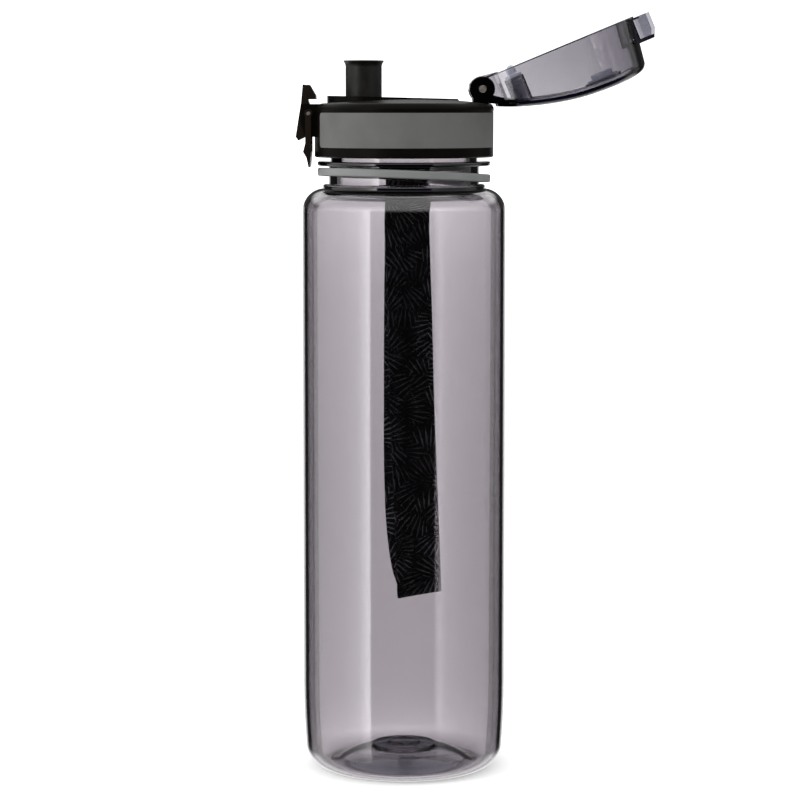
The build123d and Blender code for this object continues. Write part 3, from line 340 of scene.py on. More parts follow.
@dataclass(frozen=True)
class MouldedPlastic(Finish):
    """Opaque moulded plastic: fine spark grain, soft cloudy colour, handling shine and pale worn specks.

    Attributes:
        colour: Its colour.
        cloud: The colour that it drifts towards.
        roughness: Its mean roughness.
        grain: Grains per metre.
        relief: The grain's height.
        shine: How strongly it mirrors.
        clouds: Clouds of colour per metre, roughly.
        cloud_rough: How far the roughness drifts with the clouds.
        scuffs: Worn specks per metre, roughly.
        scuff_rough: How much rougher they are.
        scuff_share: How much of their pale colour shows.
    """

    colour: Colour
    cloud: Colour
    roughness: float
    grain: float = 5200.0
    relief: float = 0.00002
    shine: float = 0.3
    clouds: float = 42.0
    cloud_rough: float = 0.18
    scuffs: float = 260.0
    scuff_rough: float = 0.12
    scuff_share: float = 0.35

    def paint(self, tree: ShaderTree) -> None:
        """Lays the finish's nodes in an empty tree."""
        place = tree.object_place()
        broad = tree.noise(place, self.clouds, 3.0)
        fine = tree.noise(place, self.grain, 2.0)
        stretched = tree.add("Mapping", {"Vector": place, "Scale": (1.0, 1.0, 6.0)}).outputs[0]
        worn = tree.ramp(tree.noise(stretched, self.scuffs, 6.0), ((0.68, 0.0), (0.76, 1.0)))
        colour = tree.mix(tree.ramp(broad, ((0.35, 0.0), (0.7, 1.0)), True), self.colour, self.cloud)
        pale = tuple(min(1.0, 1.35 * c + 0.012) for c in self.colour)
        colour = tree.mix(tree.times(worn, self.scuff_share), colour, pale)
        rough = tree.maths("MULTIPLY_ADD", broad, self.cloud_rough, self.roughness - self.cloud_rough / 2)
        rough = tree.maths("MULTIPLY_ADD", worn, self.scuff_rough, rough)
        tree.finish({"Base Color": colour, "Roughness": rough, "Normal": tree.bump(fine, self.relief),
                     "Specular IOR Level": self.shine})


@dataclass(frozen=True)
class ClearPlastic(Finish):
    """Tinted clear plastic: its walls swallow light by their thickness, and its skin is rippled and smudged.

    Attributes:
        left: The colour that is swallowed least.
        density: How much is swallowed per metre.
        roughness: Its mean roughness.
        ripple: The height of the moulded ripple.
        ior: How strongly it bends light.
        clear: The share of the light that goes straight through.
    """

    left: Colour
    density: float
    roughness: float = 0.012
    ripple: float = 0.00001
    ior: float = 1.54
    clear: float = 1.0

    def film(self, tree: ShaderTree, place: bpy.types.NodeSocket,
             smudge: bpy.types.NodeSocket) -> bpy.types.NodeSocket:
        """The tint of the skin alone, a little duller where it is smudged.

        Args:
            tree: The material's tree.
            place: Object coordinates; not used by this plain tint.
            smudge: How smudged the skin is.

        Returns:
            The tint's socket.
        """
        return tree.mix(smudge, grey(0.985), grey(0.955))

    def paint(self, tree: ShaderTree) -> None:
        """Lays the finish's nodes in an empty tree."""
        place = tree.object_place()
        drawn = tree.add("Mapping", {"Vector": place, "Scale": (1.0, 1.0, 0.3)}).outputs[0]
        normal = tree.bump(tree.noise(drawn, 60.0, 0.0), self.ripple)
        smudge = tree.noise(place, 120.0, 4.0)
        rough = tree.maths("MULTIPLY_ADD", smudge, self.roughness, 0.5 * self.roughness)
        inside = tree.add("VolumeAbsorption", {"Color": self.left, "Density": self.density}).outputs[0]
        tree.finish({"Base Color": self.film(tree, place, smudge), "Roughness": rough, "Normal": normal,
                     "Transmission Weight": self.clear, "IOR": self.ior}, inside)


@dataclass(frozen=True)
class BodyPlastic(ClearPlastic):
    """The body's clear plastic: painted shade where the outside is seen edge on, at the flange, the bead and
    under the foot, with three plain filling ticks.

    Attributes:
        wall_stops: The painted shade of the thin wall, in dark and paler bands: how bright it is, from where
            it is seen square on to where it is edge on.
        neck_stops: The same for the neck's thick wall.
        neck_z: Where the neck starts.
        sill: Heights between which the outline is painted black at the foot, as painted shade.
        sill_facing: How far it must turn away to be black there.
        thick: Low and high end and inner radius of each place at the flange and the bead that is painted
            black with its own depth, as painted shade.
        ring_shade_tint: The tint of their painted shade.
        foot: Heights between which the foot's underside takes a painted shade.
        foot_r: The underside ends at this radius.
        foot_shade_tint: The tint of that painted shade.
        ticks_deg: The compass angle of the filling ticks, from +X.
        ticks: Height and half width in degrees of each tick.
        tick_half: Half a tick's height.
        tick_tint: The ink's tint.
        blur: How softly a mark ends.
    """

    wall_stops: tuple = ((0.470, 1.0), (0.488, 0.32), (0.555, 0.36), (0.58, 0.66), (0.61, 0.76),
                         (0.655, 0.72), (0.685, 0.45), (0.70, 0.08), (0.708, 0.0), (0.775, 0.0),
                         (0.80, 0.35), (0.86, 0.8))
    neck_stops: tuple = ((0.40, 1.0), (0.47, 0.0), (0.86, 0.0), (0.93, 0.9))
    neck_z: float = 0.2350
    sill: tuple[float, float] = (0.006, 0.004)
    sill_facing: tuple[float, float] = (0.66, 0.74)
    thick: tuple = ((0.2420, 0.2446, 0.0301), (0.2322, 0.2346, 0.0312))
    ring_shade_tint: Colour = (0.0, 0.0, 0.002)
    foot: tuple[float, float] = (0.0095, 0.0080)
    foot_r: float = 0.0306
    foot_shade_tint: Colour = (0.48, 0.50, 0.62)
    ticks_deg: float = -22.5
    ticks: tuple = ((0.2190, 1.9), (0.2165, 1.1), (0.2140, 1.9))
    tick_half: float = 0.0002
    tick_tint: Colour = (0.02, 0.02, 0.02)
    blur: float = 0.0001

    def outline(self, tree: ShaderTree, height: bpy.types.NodeSocket) -> bpy.types.NodeSocket:
        """The painted shade of the outside, in dark and paler bands, by how far it turns away from the eye
        and by its height.

        Args:
            tree: The material's tree.
            height: The height above the foot.

        Returns:
            The brightness's socket.
        """
        # Painted shade: dark and paler bands where the outside turns edge on, and black at the foot's
        # outline.
        facing = tree.facing()
        wall, neck = tree.ramp(facing, self.wall_stops), tree.ramp(facing, self.neck_stops)
        edge = tree.mix(tree.step(height, self.neck_z, self.neck_z + 5 * self.blur), wall, neck)
        black = tree.times(tree.step(height, *self.sill), tree.step(facing, *self.sill_facing))
        return tree.mix(black, edge, grey(0.0))

    def film(self, tree: ShaderTree, place: bpy.types.NodeSocket,
             smudge: bpy.types.NodeSocket) -> bpy.types.NodeSocket:
        """The clear tint, with painted shade near the outline, at the flange and the bead and under the
        foot, and darkened under the ink.
        """
        clear = super().film(tree, place, smudge)
        x, y, height = tree.parts(place)
        flat = tree.vector("MULTIPLY", place, (1.0, 1.0, 0.0))
        reach = tree.length(flat)
        outside = tree.step(tree.dot(tree.outward(), tree.vector("NORMALIZE", flat)), 0.02, 0.1)
        shade = tree.mix(outside, grey(1.0), self.outline(tree, height))
        # Painted shade: the flange and the bead are painted black beyond their inner radius.
        for low, high, radius in self.thick:
            ring_shade = tree.step(reach, radius, radius + 2 * self.blur)
            ring_shade = tree.times(tree.within(height, low, high, self.blur), ring_shade)
            shade = tree.mix(ring_shade, shade, self.ring_shade_tint)
        # Painted shade: the foot's underside is tinted a darker blue grey.
        inner = tree.times(tree.step(height, *self.foot), tree.step(reach, self.foot_r, self.foot_r - 0.001))
        under = tree.times(inner, tree.step(tree.dot(tree.outward(), (0.0, 0.0, -1.0)), 0.2, 0.5))
        shade = tree.mix(under, shade, self.foot_shade_tint)
        aside = tree.away(tree.times(tree.maths("ARCTAN2", y, x), 180 / math.pi), self.ticks_deg)
        for tick_z, half_deg in self.ticks:
            level = tree.step(tree.away(height, tick_z), self.tick_half + self.blur, self.tick_half)
            ink = tree.times(level, tree.step(aside, half_deg + 0.1, half_deg))
            shade = tree.mix(tree.times(ink, outside), shade, self.tick_tint)
        return tree.stained(clear, shade)


@dataclass(frozen=True)
class CoverPlastic(ClearPlastic):
    """The cover's clear plastic: painted shade round its ears, along the roof's rounded edge, at its rim and
    where it is seen edge on.

    Attributes:
        hinge: X and Z of the hinge's axis.
        open_deg: How far the cover is open.
        ear_r: The radius of its ears, and of the painted shade round them.
        rim_v: The rim's height in the cover's own frame.
        root_u: How far from the hinge the painted shade at its root reaches.
        root_v: Where the painted shade at the root starts in the cover's own frame, on a line that climbs
            with the roof.
        roof_climb: How much that line climbs per length.
        tip_u: Where the catch starts.
        catch_tint: The catch's tint.
        painted_shade_tint: The tint of the painted shade.
        rim_half: Half the height of the painted shade along the rim.
        blur: How softly a patch of painted shade ends.
    """

    hinge: tuple[float, float] = (0.0309, 0.2727)
    open_deg: float = 22.5
    ear_r: float = 0.0047
    rim_v: float = -0.0036
    root_u: float = 0.0115
    root_v: float = 0.0015
    roof_climb: float = 0.746
    tip_u: float = 0.0662
    catch_tint: Colour = (0.60, 0.61, 0.65)
    painted_shade_tint: Colour = (0.0, 0.0, 0.0003)
    rim_half: float = 0.0003
    blur: float = 0.0003

    def film(self, tree: ShaderTree, place: bpy.types.NodeSocket,
             smudge: bpy.types.NodeSocket) -> bpy.types.NodeSocket:
        """The clear tint, with painted shade where thick plastic bends the light away."""
        clear = super().film(tree, place, smudge)
        a = math.radians(self.open_deg)
        along, up = (math.cos(a), 0.0, math.sin(a)), (math.sin(a), 0.0, -math.cos(a))
        local = tree.vector("SUBTRACT", place, (self.hinge[0], 0.0, self.hinge[1]))
        u, v = tree.dot(local, along), tree.dot(local, up)
        normal = tree.outward()
        rise = tree.dot(normal, up)
        reach = tree.length(tree.vector("MULTIPLY", local, (1.0, 0.0, 1.0)))
        ear = tree.step(reach, self.ear_r + self.blur, self.ear_r)
        edge = tree.times(tree.step(rise, 0.25, 0.33), tree.step(rise, 0.91, 0.85))
        rim = tree.times(tree.step(tree.away(v, self.rim_v), self.rim_half + 0.0002, self.rim_half), 0.75)
        climb = tree.maths("MULTIPLY_ADD", u, -self.roof_climb, v)
        above = tree.step(climb, self.root_v, self.root_v + 0.0004)
        root = tree.times(tree.step(u, self.root_u, self.root_u - 0.001), above)
        facing = tree.facing()
        turned = tree.times(tree.step(facing, 0.42, 0.55), tree.step(facing, 0.97, 0.93))
        tip = tree.times(turned, tree.step(tree.dot(normal, along), 0.1, 0.3))
        # Painted shade: the ears, the roof's rounded edge, the root, the tip seen edge on and the rim are
        # tinted near black.
        dark = ear
        for mask in (edge, root, tip, rim):
            dark = tree.maths("MAXIMUM", dark, mask)
        catch = tree.mix(tree.step(u, self.tip_u, self.tip_u + 2 * self.blur), clear, self.catch_tint)
        return tree.mix(dark, catch, self.painted_shade_tint)


@dataclass(frozen=True)
class MilkyClear(ClearPlastic):
    """Soft plastic that lets only part of the light straight through and scatters the rest."""

    clear: float = 0.5

    def film(self, tree: ShaderTree, place: bpy.types.NodeSocket,
             smudge: bpy.types.NodeSocket) -> bpy.types.NodeSocket:
        """Blue grey, cloudy."""
        return tree.mix(smudge, (0.74, 0.77, 0.86), (0.62, 0.65, 0.74))


@dataclass(frozen=True)
class Elastomer(Finish):
    """Soft moulded rubber: matt, faintly dusty in its hollows, with a fine eggshell grain.

    Attributes:
        colour: Its colour.
        dust: The colour of its bloom.
        roughness: Its mean roughness.
        blooms: Clouds of bloom per metre, roughly.
        pebbles: Grains per metre.
        relief: The grain's height.
    """

    colour: Colour
    dust: Colour
    roughness: float = 0.55
    blooms: float = 150.0
    pebbles: float = 3600.0
    relief: float = 0.00003

    def paint(self, tree: ShaderTree) -> None:
        """Lays the finish's nodes in an empty tree."""
        place = tree.object_place()
        bloom = tree.ramp(tree.noise(place, self.blooms, 5.0), ((0.45, 0.0), (0.75, 1.0)), True)
        colour = tree.mix(tree.times(bloom, 0.5), self.colour, self.dust)
        cells = tree.add("TexVoronoi", {"Vector": place, "Scale": self.pebbles}).outputs["Distance"]
        rough = tree.maths("MULTIPLY_ADD", bloom, 0.15, self.roughness - 0.05)
        tree.finish({"Base Color": colour, "Roughness": rough, "Normal": tree.bump(cells, self.relief),
                     "Sheen Weight": 0.03, "Sheen Roughness": 0.5, "Specular IOR Level": 0.25})


@dataclass(frozen=True)
class DrawnSteel(Finish):
    """Bright drawn wire or a cut pin: fine marks round it and faint warm stains.

    Attributes:
        colour: Its colour.
        stain: The colour of its stains.
        roughness: Its mean roughness.
        marks: Drawing marks per metre, roughly.
        stains: Stains per metre, roughly.
        relief: The marks' depth.
    """

    colour: Colour
    stain: Colour
    roughness: float = 0.3
    marks: float = 900.0
    stains: float = 420.0
    relief: float = 0.00001

    def paint(self, tree: ShaderTree) -> None:
        """Lays the finish's nodes in an empty tree."""
        place = tree.object_place()
        along = tree.add("Mapping", {"Vector": place, "Scale": (9.0, 1.0, 9.0)}).outputs[0]
        marks = tree.noise(along, self.marks, 4.0)
        stain = tree.ramp(tree.noise(place, self.stains, 4.0), ((0.45, 0.0), (0.7, 1.0)), True)
        colour = tree.mix(stain, self.colour, self.stain)
        rough = tree.maths("MULTIPLY_ADD", marks, 0.25, self.roughness - 0.12)
        tree.finish({"Base Color": colour, "Metallic": 1.0, "Roughness": rough,
                     "Normal": tree.bump(marks, self.relief)})


@dataclass(frozen=True)
class PrintedWebbing(Finish):
    """Close flat webbing with a tossed print of short hatch marks, laid out on the strap's own UV map.

    The map's U runs across the strap and V along it, both in strap widths.

    Attributes:
        ground: The ground colour.
        stroke: The print's colour.
        bright: The colour of the brightest strokes.
        patches: Hatch patches per strap width.
        strokes: Strokes per strap width inside a patch.
        picks: Weft threads per strap width.
        relief: The weave's height.
        fan: How fast a stroke widens along its fan.
        duty: The share of a fan's middle that its strokes cover.
    """

    ground: Colour
    stroke: Colour
    bright: Colour
    patches: float = 2.1
    strokes: float = 9.5
    picks: float = 46.0
    relief: float = 0.00009
    fan: float = 0.75
    duty: float = 0.20

    def hatch(self, tree: ShaderTree, place: bpy.types.NodeSocket, scale: float,
              count: float) -> tuple[bpy.types.NodeSocket, bpy.types.NodeSocket]:
        """Fans of tapering strokes, each fan turned its own way.

        Each Voronoi cell turns its own coordinates by a random angle. A stroke is drawn where the fraction
        of X over a width that grows with Y is within a duty that shrinks with the distance from the cell's
        middle.

        Args:
            tree: The material's tree.
            place: The strap's UV.
            scale: Cells per strap width.
            count: Strokes per strap width.

        Returns:
            The mask and a random value per cell.
        """
        cell = tree.add("TexVoronoi", {"Vector": place, "Scale": scale, "Randomness": 0.85},
                        voronoi_dimensions="2D")
        chance = tree.add("SeparateColor", {"Color": cell.outputs["Color"]})
        local = tree.vector("SUBTRACT", place, cell.outputs["Position"])
        angle = tree.times(chance.outputs[0], 2 * math.pi)
        turned = tree.add("VectorRotate", {"Vector": local, "Angle": angle}, rotation_type="Z_AXIS")
        x, y, _ = tree.parts(turned.outputs[0])
        spread = tree.maths("DIVIDE", x, tree.maths("MULTIPLY_ADD", y, self.fan * scale, 1.0))
        wave = tree.maths("PINGPONG", tree.times(spread, count), 0.5)
        reach = tree.times(tree.maths("ABSOLUTE", y), 1.1 * scale)
        duty = tree.maths("SUBTRACT", self.duty, tree.times(reach, 0.27))
        mask = tree.step(tree.maths("SUBTRACT", duty, wave), 0.0, 0.05)
        return mask, chance.outputs[1]

    def paint(self, tree: ShaderTree) -> None:
        """Lays the finish's nodes in an empty tree."""
        uv = tree.add("UVMap", uv_map=CarryStrap.UV_NAME).outputs[0]
        big, big_chance = self.hatch(tree, uv, self.patches, self.strokes)
        shifted = tree.vector("ADD", uv, (3.7, 1.3, 0.0))
        small, _ = self.hatch(tree, shifted, 1.5 * self.patches, 1.25 * self.strokes)
        ink = tree.mix(big_chance, self.stroke, self.bright)
        colour = tree.mix(tree.times(small, 0.3), self.ground, self.stroke)
        colour = tree.mix(big, colour, ink)
        u, v, _ = tree.parts(uv)
        warp = tree.maths("SINE", tree.times(u, 2 * math.pi * 0.7 * self.picks))
        weft = tree.maths("SINE", tree.times(v, 2 * math.pi * self.picks))
        weave = tree.times(warp, weft)
        height = tree.maths("MULTIPLY_ADD", tree.noise(uv, 90.0, 4.0), 0.5, weave)
        shade = tree.maths("MULTIPLY_ADD", weave, 0.12, 0.9)
        cloth = tree.stained(colour, tree.add("CombineColor", {0: shade, 1: shade, 2: shade}).outputs[0])
        tree.finish({"Base Color": cloth, "Roughness": 0.82, "Normal": tree.bump(height, self.relief),
                     "Sheen Weight": 0.04, "Sheen Roughness": 0.45, "Specular IOR Level": 0.15})


@dataclass(frozen=True)
class SewingThread(Finish):
    """Twisted polyester thread, with its ply drawn as slanting bands on object coordinates.

    Attributes:
        colour: Its colour.
        shade: The colour between its plies.
        plies: Ply bands, in the wave's own scale.
        relief: The plies' height.
    """

    colour: Colour
    shade: Colour
    plies: float = 1100.0
    relief: float = 0.00005

    def paint(self, tree: ShaderTree) -> None:
        """Lays the finish's nodes in an empty tree."""
        place = tree.object_place()
        ply = tree.add("TexWave", {"Vector": place, "Scale": self.plies, "Distortion": 1.5},
                       bands_direction="DIAGONAL").outputs["Fac"]
        colour = tree.mix(ply, self.shade, self.colour)
        tree.finish({"Base Color": colour, "Roughness": 0.6, "Normal": tree.bump(ply, self.relief),
                     "Sheen Weight": 0.3})


class Outline:
    """A line in radius and height, made of straight runs and arcs and sampled as it is drawn."""

    def __init__(self, radius: float, height: float) -> None:
        """Starts at one point.

        Args:
            radius: Distance from the axis.
            height: Height above the foot.
        """
        self.rows = [np.array([[radius, height]])]

    def line(self, radius: float, height: float, rows: int = 1) -> "Outline":
        """Runs straight to a point: start plus t times the way, for t up to 1.

        Args:
            radius: The end's radius.
            height: The end's height.
            rows: How many points it takes.

        Returns:
            The outline, so that calls chain.
        """
        start = self.rows[-1][-1]
        t = np.linspace(0, 1, rows + 1)[1:, None]
        self.rows.append(start + t * (np.array([radius, height]) - start))
        return self

    def arc(self, centre: tuple[float, float], radius: float, start: float, end: float,
            rows: int) -> "Outline":
        """Follows a circle: centre plus radius times the cosine and sine of the angle.

        Args:
            centre: The circle's centre.
            radius: Its radius.
            start: First angle in degrees.
            end: Last angle in degrees.
            rows: How many points it takes.

        Returns:
            The outline, so that calls chain.
        """
        angle = np.radians(np.linspace(start, end, rows + 1))
        points = np.column_stack([np.cos(angle), np.sin(angle)]) * radius + np.array(centre)
        self.rows.append(points[1:] if np.allclose(points[0], self.rows[-1][-1]) else points)
        return self

    def through(self, middle: tuple[float, float], end: tuple[float, float], rows: int) -> "Outline":
        """Follows the parabola through the last point, a middle point and an end point.

        The point at t is the three points weighted by (1-t)(1-2t), 4t(1-t) and t(2t-1).

        Args:
            middle: The point at t of one half.
            end: The last point.
            rows: How many points it takes.

        Returns:
            The outline, so that calls chain.
        """
        start = self.rows[-1][-1]
        t = np.linspace(0, 1, rows + 1)[1:, None]
        self.rows.append((1 - t) * (1 - 2 * t) * start + 4 * t * (1 - t) * np.array(middle)
                         + t * (2 * t - 1) * np.array(end))
        return self

    def points(self) -> np.ndarray:
        """All points, as rows of radius and height."""
        return np.concatenate(self.rows)


def revolved(profile: np.ndarray, segments: int) -> np.ndarray:
    """A surface of revolution: radius times cosine, radius times sine, height.

    Args:
        profile: Rows of radius and height.
        segments: How many columns go round.

    Returns:
        Points of shape (rows, segments, 3).
    """
    turn = np.linspace(0, 2 * np.pi, segments, endpoint=False)
    radius, height = profile[:, :1], profile[:, 1:]
    return np.stack([radius * np.cos(turn), radius * np.sin(turn), height + 0 * turn], axis=-1)


def swept(line: np.ndarray, across: np.ndarray, up: np.ndarray, section: np.ndarray) -> np.ndarray:
    """A section carried along a line: the line's point plus the section's two parts times across and up.

    Args:
        line: The line's points, (rows, 3).
        across: The section's first direction at each point.
        up: Its second direction.
        section: The section's points, (columns, 2).

    Returns:
        Points of shape (rows, columns, 3).
    """
    return (line[:, None, :] + section[None, :, :1] * across[:, None, :]
            + section[None, :, 1:] * up[:, None, :])


def smooth_line(stations: np.ndarray, steps: int) -> np.ndarray:
    """A cubic through its stations, whose slope at each comes from its neighbours and their distances.

    Between two stations the point at t is the Hermite blend of the two points and of the two slopes times
    the stretch's length. Length is measured on the first three numbers of a row.

    Args:
        stations: Rows of numbers, (count, width).
        steps: Points per stretch.

    Returns:
        Rows, ((count - 1) * steps + 1, width).
    """
    reach = np.linalg.norm(np.diff(stations[:, :3], axis=0), axis=1)
    slope = np.gradient(stations, np.concatenate([[0], np.cumsum(reach)]), axis=0)
    t = np.linspace(0, 1, steps, endpoint=False)[None, :, None]
    span = reach[:, None, None]
    a, b, c, d = stations[:-1, None], stations[1:, None], span * slope[:-1, None], span * slope[1:, None]
    rows = ((2 * t ** 3 - 3 * t ** 2 + 1) * a + (t ** 3 - 2 * t ** 2 + t) * c
            + (3 * t ** 2 - 2 * t ** 3) * b + (t ** 3 - t ** 2) * d)
    return np.concatenate([rows.reshape(-1, stations.shape[1]), stations[-1:]])


def unit(rows: np.ndarray) -> np.ndarray:
    """Each row divided by its length."""
    return rows / np.linalg.norm(rows, axis=-1, keepdims=True)


def wire_skin(line: np.ndarray, radius: float, sides: int) -> np.ndarray:
    """A round wire along a line that runs mostly square to Y.

    The wire's circle is drawn in two directions: the cross product of the line's way with Y, and the cross
    product of that with the way.

    Args:
        line: The line's points, (rows, 3).
        radius: The wire's radius.
        sides: Points round it.

    Returns:
        Points of shape (rows, sides, 3).
    """
    way = unit(np.gradient(line, axis=0))
    across = unit(np.cross(way, np.array([0.0, 1.0, 0.0])))
    turn = np.radians(np.arange(0, 360, 360 / sides))
    section = np.column_stack([np.cos(turn), np.sin(turn)]) * radius
    return swept(line, across, np.cross(across, way), section)


class Skin:
    """Makes mesh objects out of grids of points whose columns go round."""

    @staticmethod
    def faces(rows: int, columns: int) -> np.ndarray:
        """The quads of a grid, each the four neighbours of a cell; the last column joins the first.

        Args:
            rows: Rows of points.
            columns: Points in a row.

        Returns:
            Point numbers, (quads, 4).
        """
        i, j = np.arange(rows - 1)[:, None], np.arange(columns)[None, :]
        j2 = (j + 1) % columns
        quads = [i * columns + j, i * columns + j2, (i + 1) * columns + j2, (i + 1) * columns + j]
        return np.stack(quads, axis=-1).reshape(-1, 4)

    @staticmethod
    def rod(name: str, points: np.ndarray, sharp: float, merge: float) -> bpy.types.Object:
        """A swept grid as a closed solid, with one face at each end.

        Args:
            name: The piece's name.
            points: The grid, (rows, columns, 3).
            sharp: The angle in degrees past which an edge stays sharp.
            merge: Points closer than this are one.

        Returns:
            The object, at the origin.
        """
        rows, columns = points.shape[:2]
        faces = Skin.faces(rows, columns).tolist()
        faces += [list(range(columns)), list(range((rows - 1) * columns, rows * columns))]
        return Skin.object_of(name, points, faces, sharp, merge)

    @staticmethod
    def object_of(name: str, points: np.ndarray, faces: list, sharp: float,
                  merge: float = 1e-7) -> bpy.types.Object:
        """A smooth shaded mesh object with its doubles merged and its faces turned outwards.

        Args:
            name: The piece's name.
            points: Points, (count, 3).
            faces: Lists of point numbers.
            sharp: The angle in degrees past which an edge stays sharp.
            merge: Points closer than this are one.

        Returns:
            The object, at the origin.
        """
        mesh = bpy.data.meshes.new(name)
        mesh.from_pydata(points.reshape(-1, 3).tolist(), [], faces)
        work = bmesh.new()
        work.from_mesh(mesh)
        bmesh.ops.remove_doubles(work, verts=work.verts, dist=merge)
        bmesh.ops.recalc_face_normals(work, faces=work.faces)
        work.to_mesh(mesh)
        work.free()
        mesh.validate()
        mesh.shade_smooth()
        mesh.set_sharp_from_angle(angle=math.radians(sharp))
        made = bpy.data.objects.new(name, mesh)
        bpy.context.scene.collection.objects.link(made)
        return made


@dataclass
class Finishes:
    """Every finish of the bottle, made once as a material and looked up by slot."""

    def __post_init__(self) -> None:
        """Makes the materials."""
        finishes = [
            BodyPlastic("smoke_clear", Slot.BOTTLE, left=(0.152, 0.078, 0.152), density=312.0),
            CoverPlastic("cover_smoke", Slot.COVER, left=(0.18, 0.14, 0.22), density=300.0),
            MilkyClear("soft_clear", Slot.PLUG, left=(0.46, 0.48, 0.53), density=26.0, roughness=0.12,
                       ior=1.46, clear=0.35),
            MouldedPlastic("lid_shell_black", Slot.LID, srgb(11, 10, 8), srgb(16, 14, 11),
                           roughness=0.34, shine=0.035),
            MouldedPlastic("latch_warm_black", Slot.LATCH, srgb(26, 21, 17), srgb(36, 29, 23),
                           roughness=0.34, shine=0.1),
            MouldedPlastic("band_matt_grey", Slot.BAND, srgb(119, 120, 118), srgb(109, 109, 106),
                           roughness=0.62, grain=4200.0, shine=0.25),
            MouldedPlastic("ring_pale_grey", Slot.RING, srgb(156, 159, 157), srgb(142, 145, 143),
                           roughness=0.46),
            MouldedPlastic("strainer_smoke", Slot.STRAINER, srgb(52, 50, 50), srgb(64, 62, 62),
                           roughness=0.4),
            PrintedWebbing("hatched_webbing", Slot.WEBBING, ground=srgb(14, 13, 19),
                           stroke=srgb(140, 140, 147), bright=srgb(210, 210, 218)),
            SewingThread("black_thread", Slot.STITCHING, srgb(38, 37, 40), shade=srgb(14, 14, 16)),
            Elastomer("spout_soft_black", Slot.SPOUT, srgb(10, 9, 7), srgb(20, 17, 14), roughness=0.42),
            Elastomer("seal_rubber_grey", Slot.RUBBER, srgb(58, 58, 60), srgb(84, 84, 84)),
            DrawnSteel("pin_steel_finish", Slot.PIN, (0.62, 0.58, 0.54), stain=(0.40, 0.30, 0.22)),
            DrawnSteel("spring_steel_finish", Slot.SPRING, (0.66, 0.66, 0.68), stain=(0.50, 0.46, 0.40),
                       roughness=0.24),
        ]
        self.materials = {finish.slot: finish.material() for finish in finishes}

    def dress(self, piece: bpy.types.Object, slot: Slot) -> None:
        """Gives a piece the one material of its slot.

        Args:
            piece: A new piece or a CAD node.
            slot: The slot that it takes its finish from.
        """
        piece.data.materials.clear()
        piece.data.materials.append(self.materials[slot])


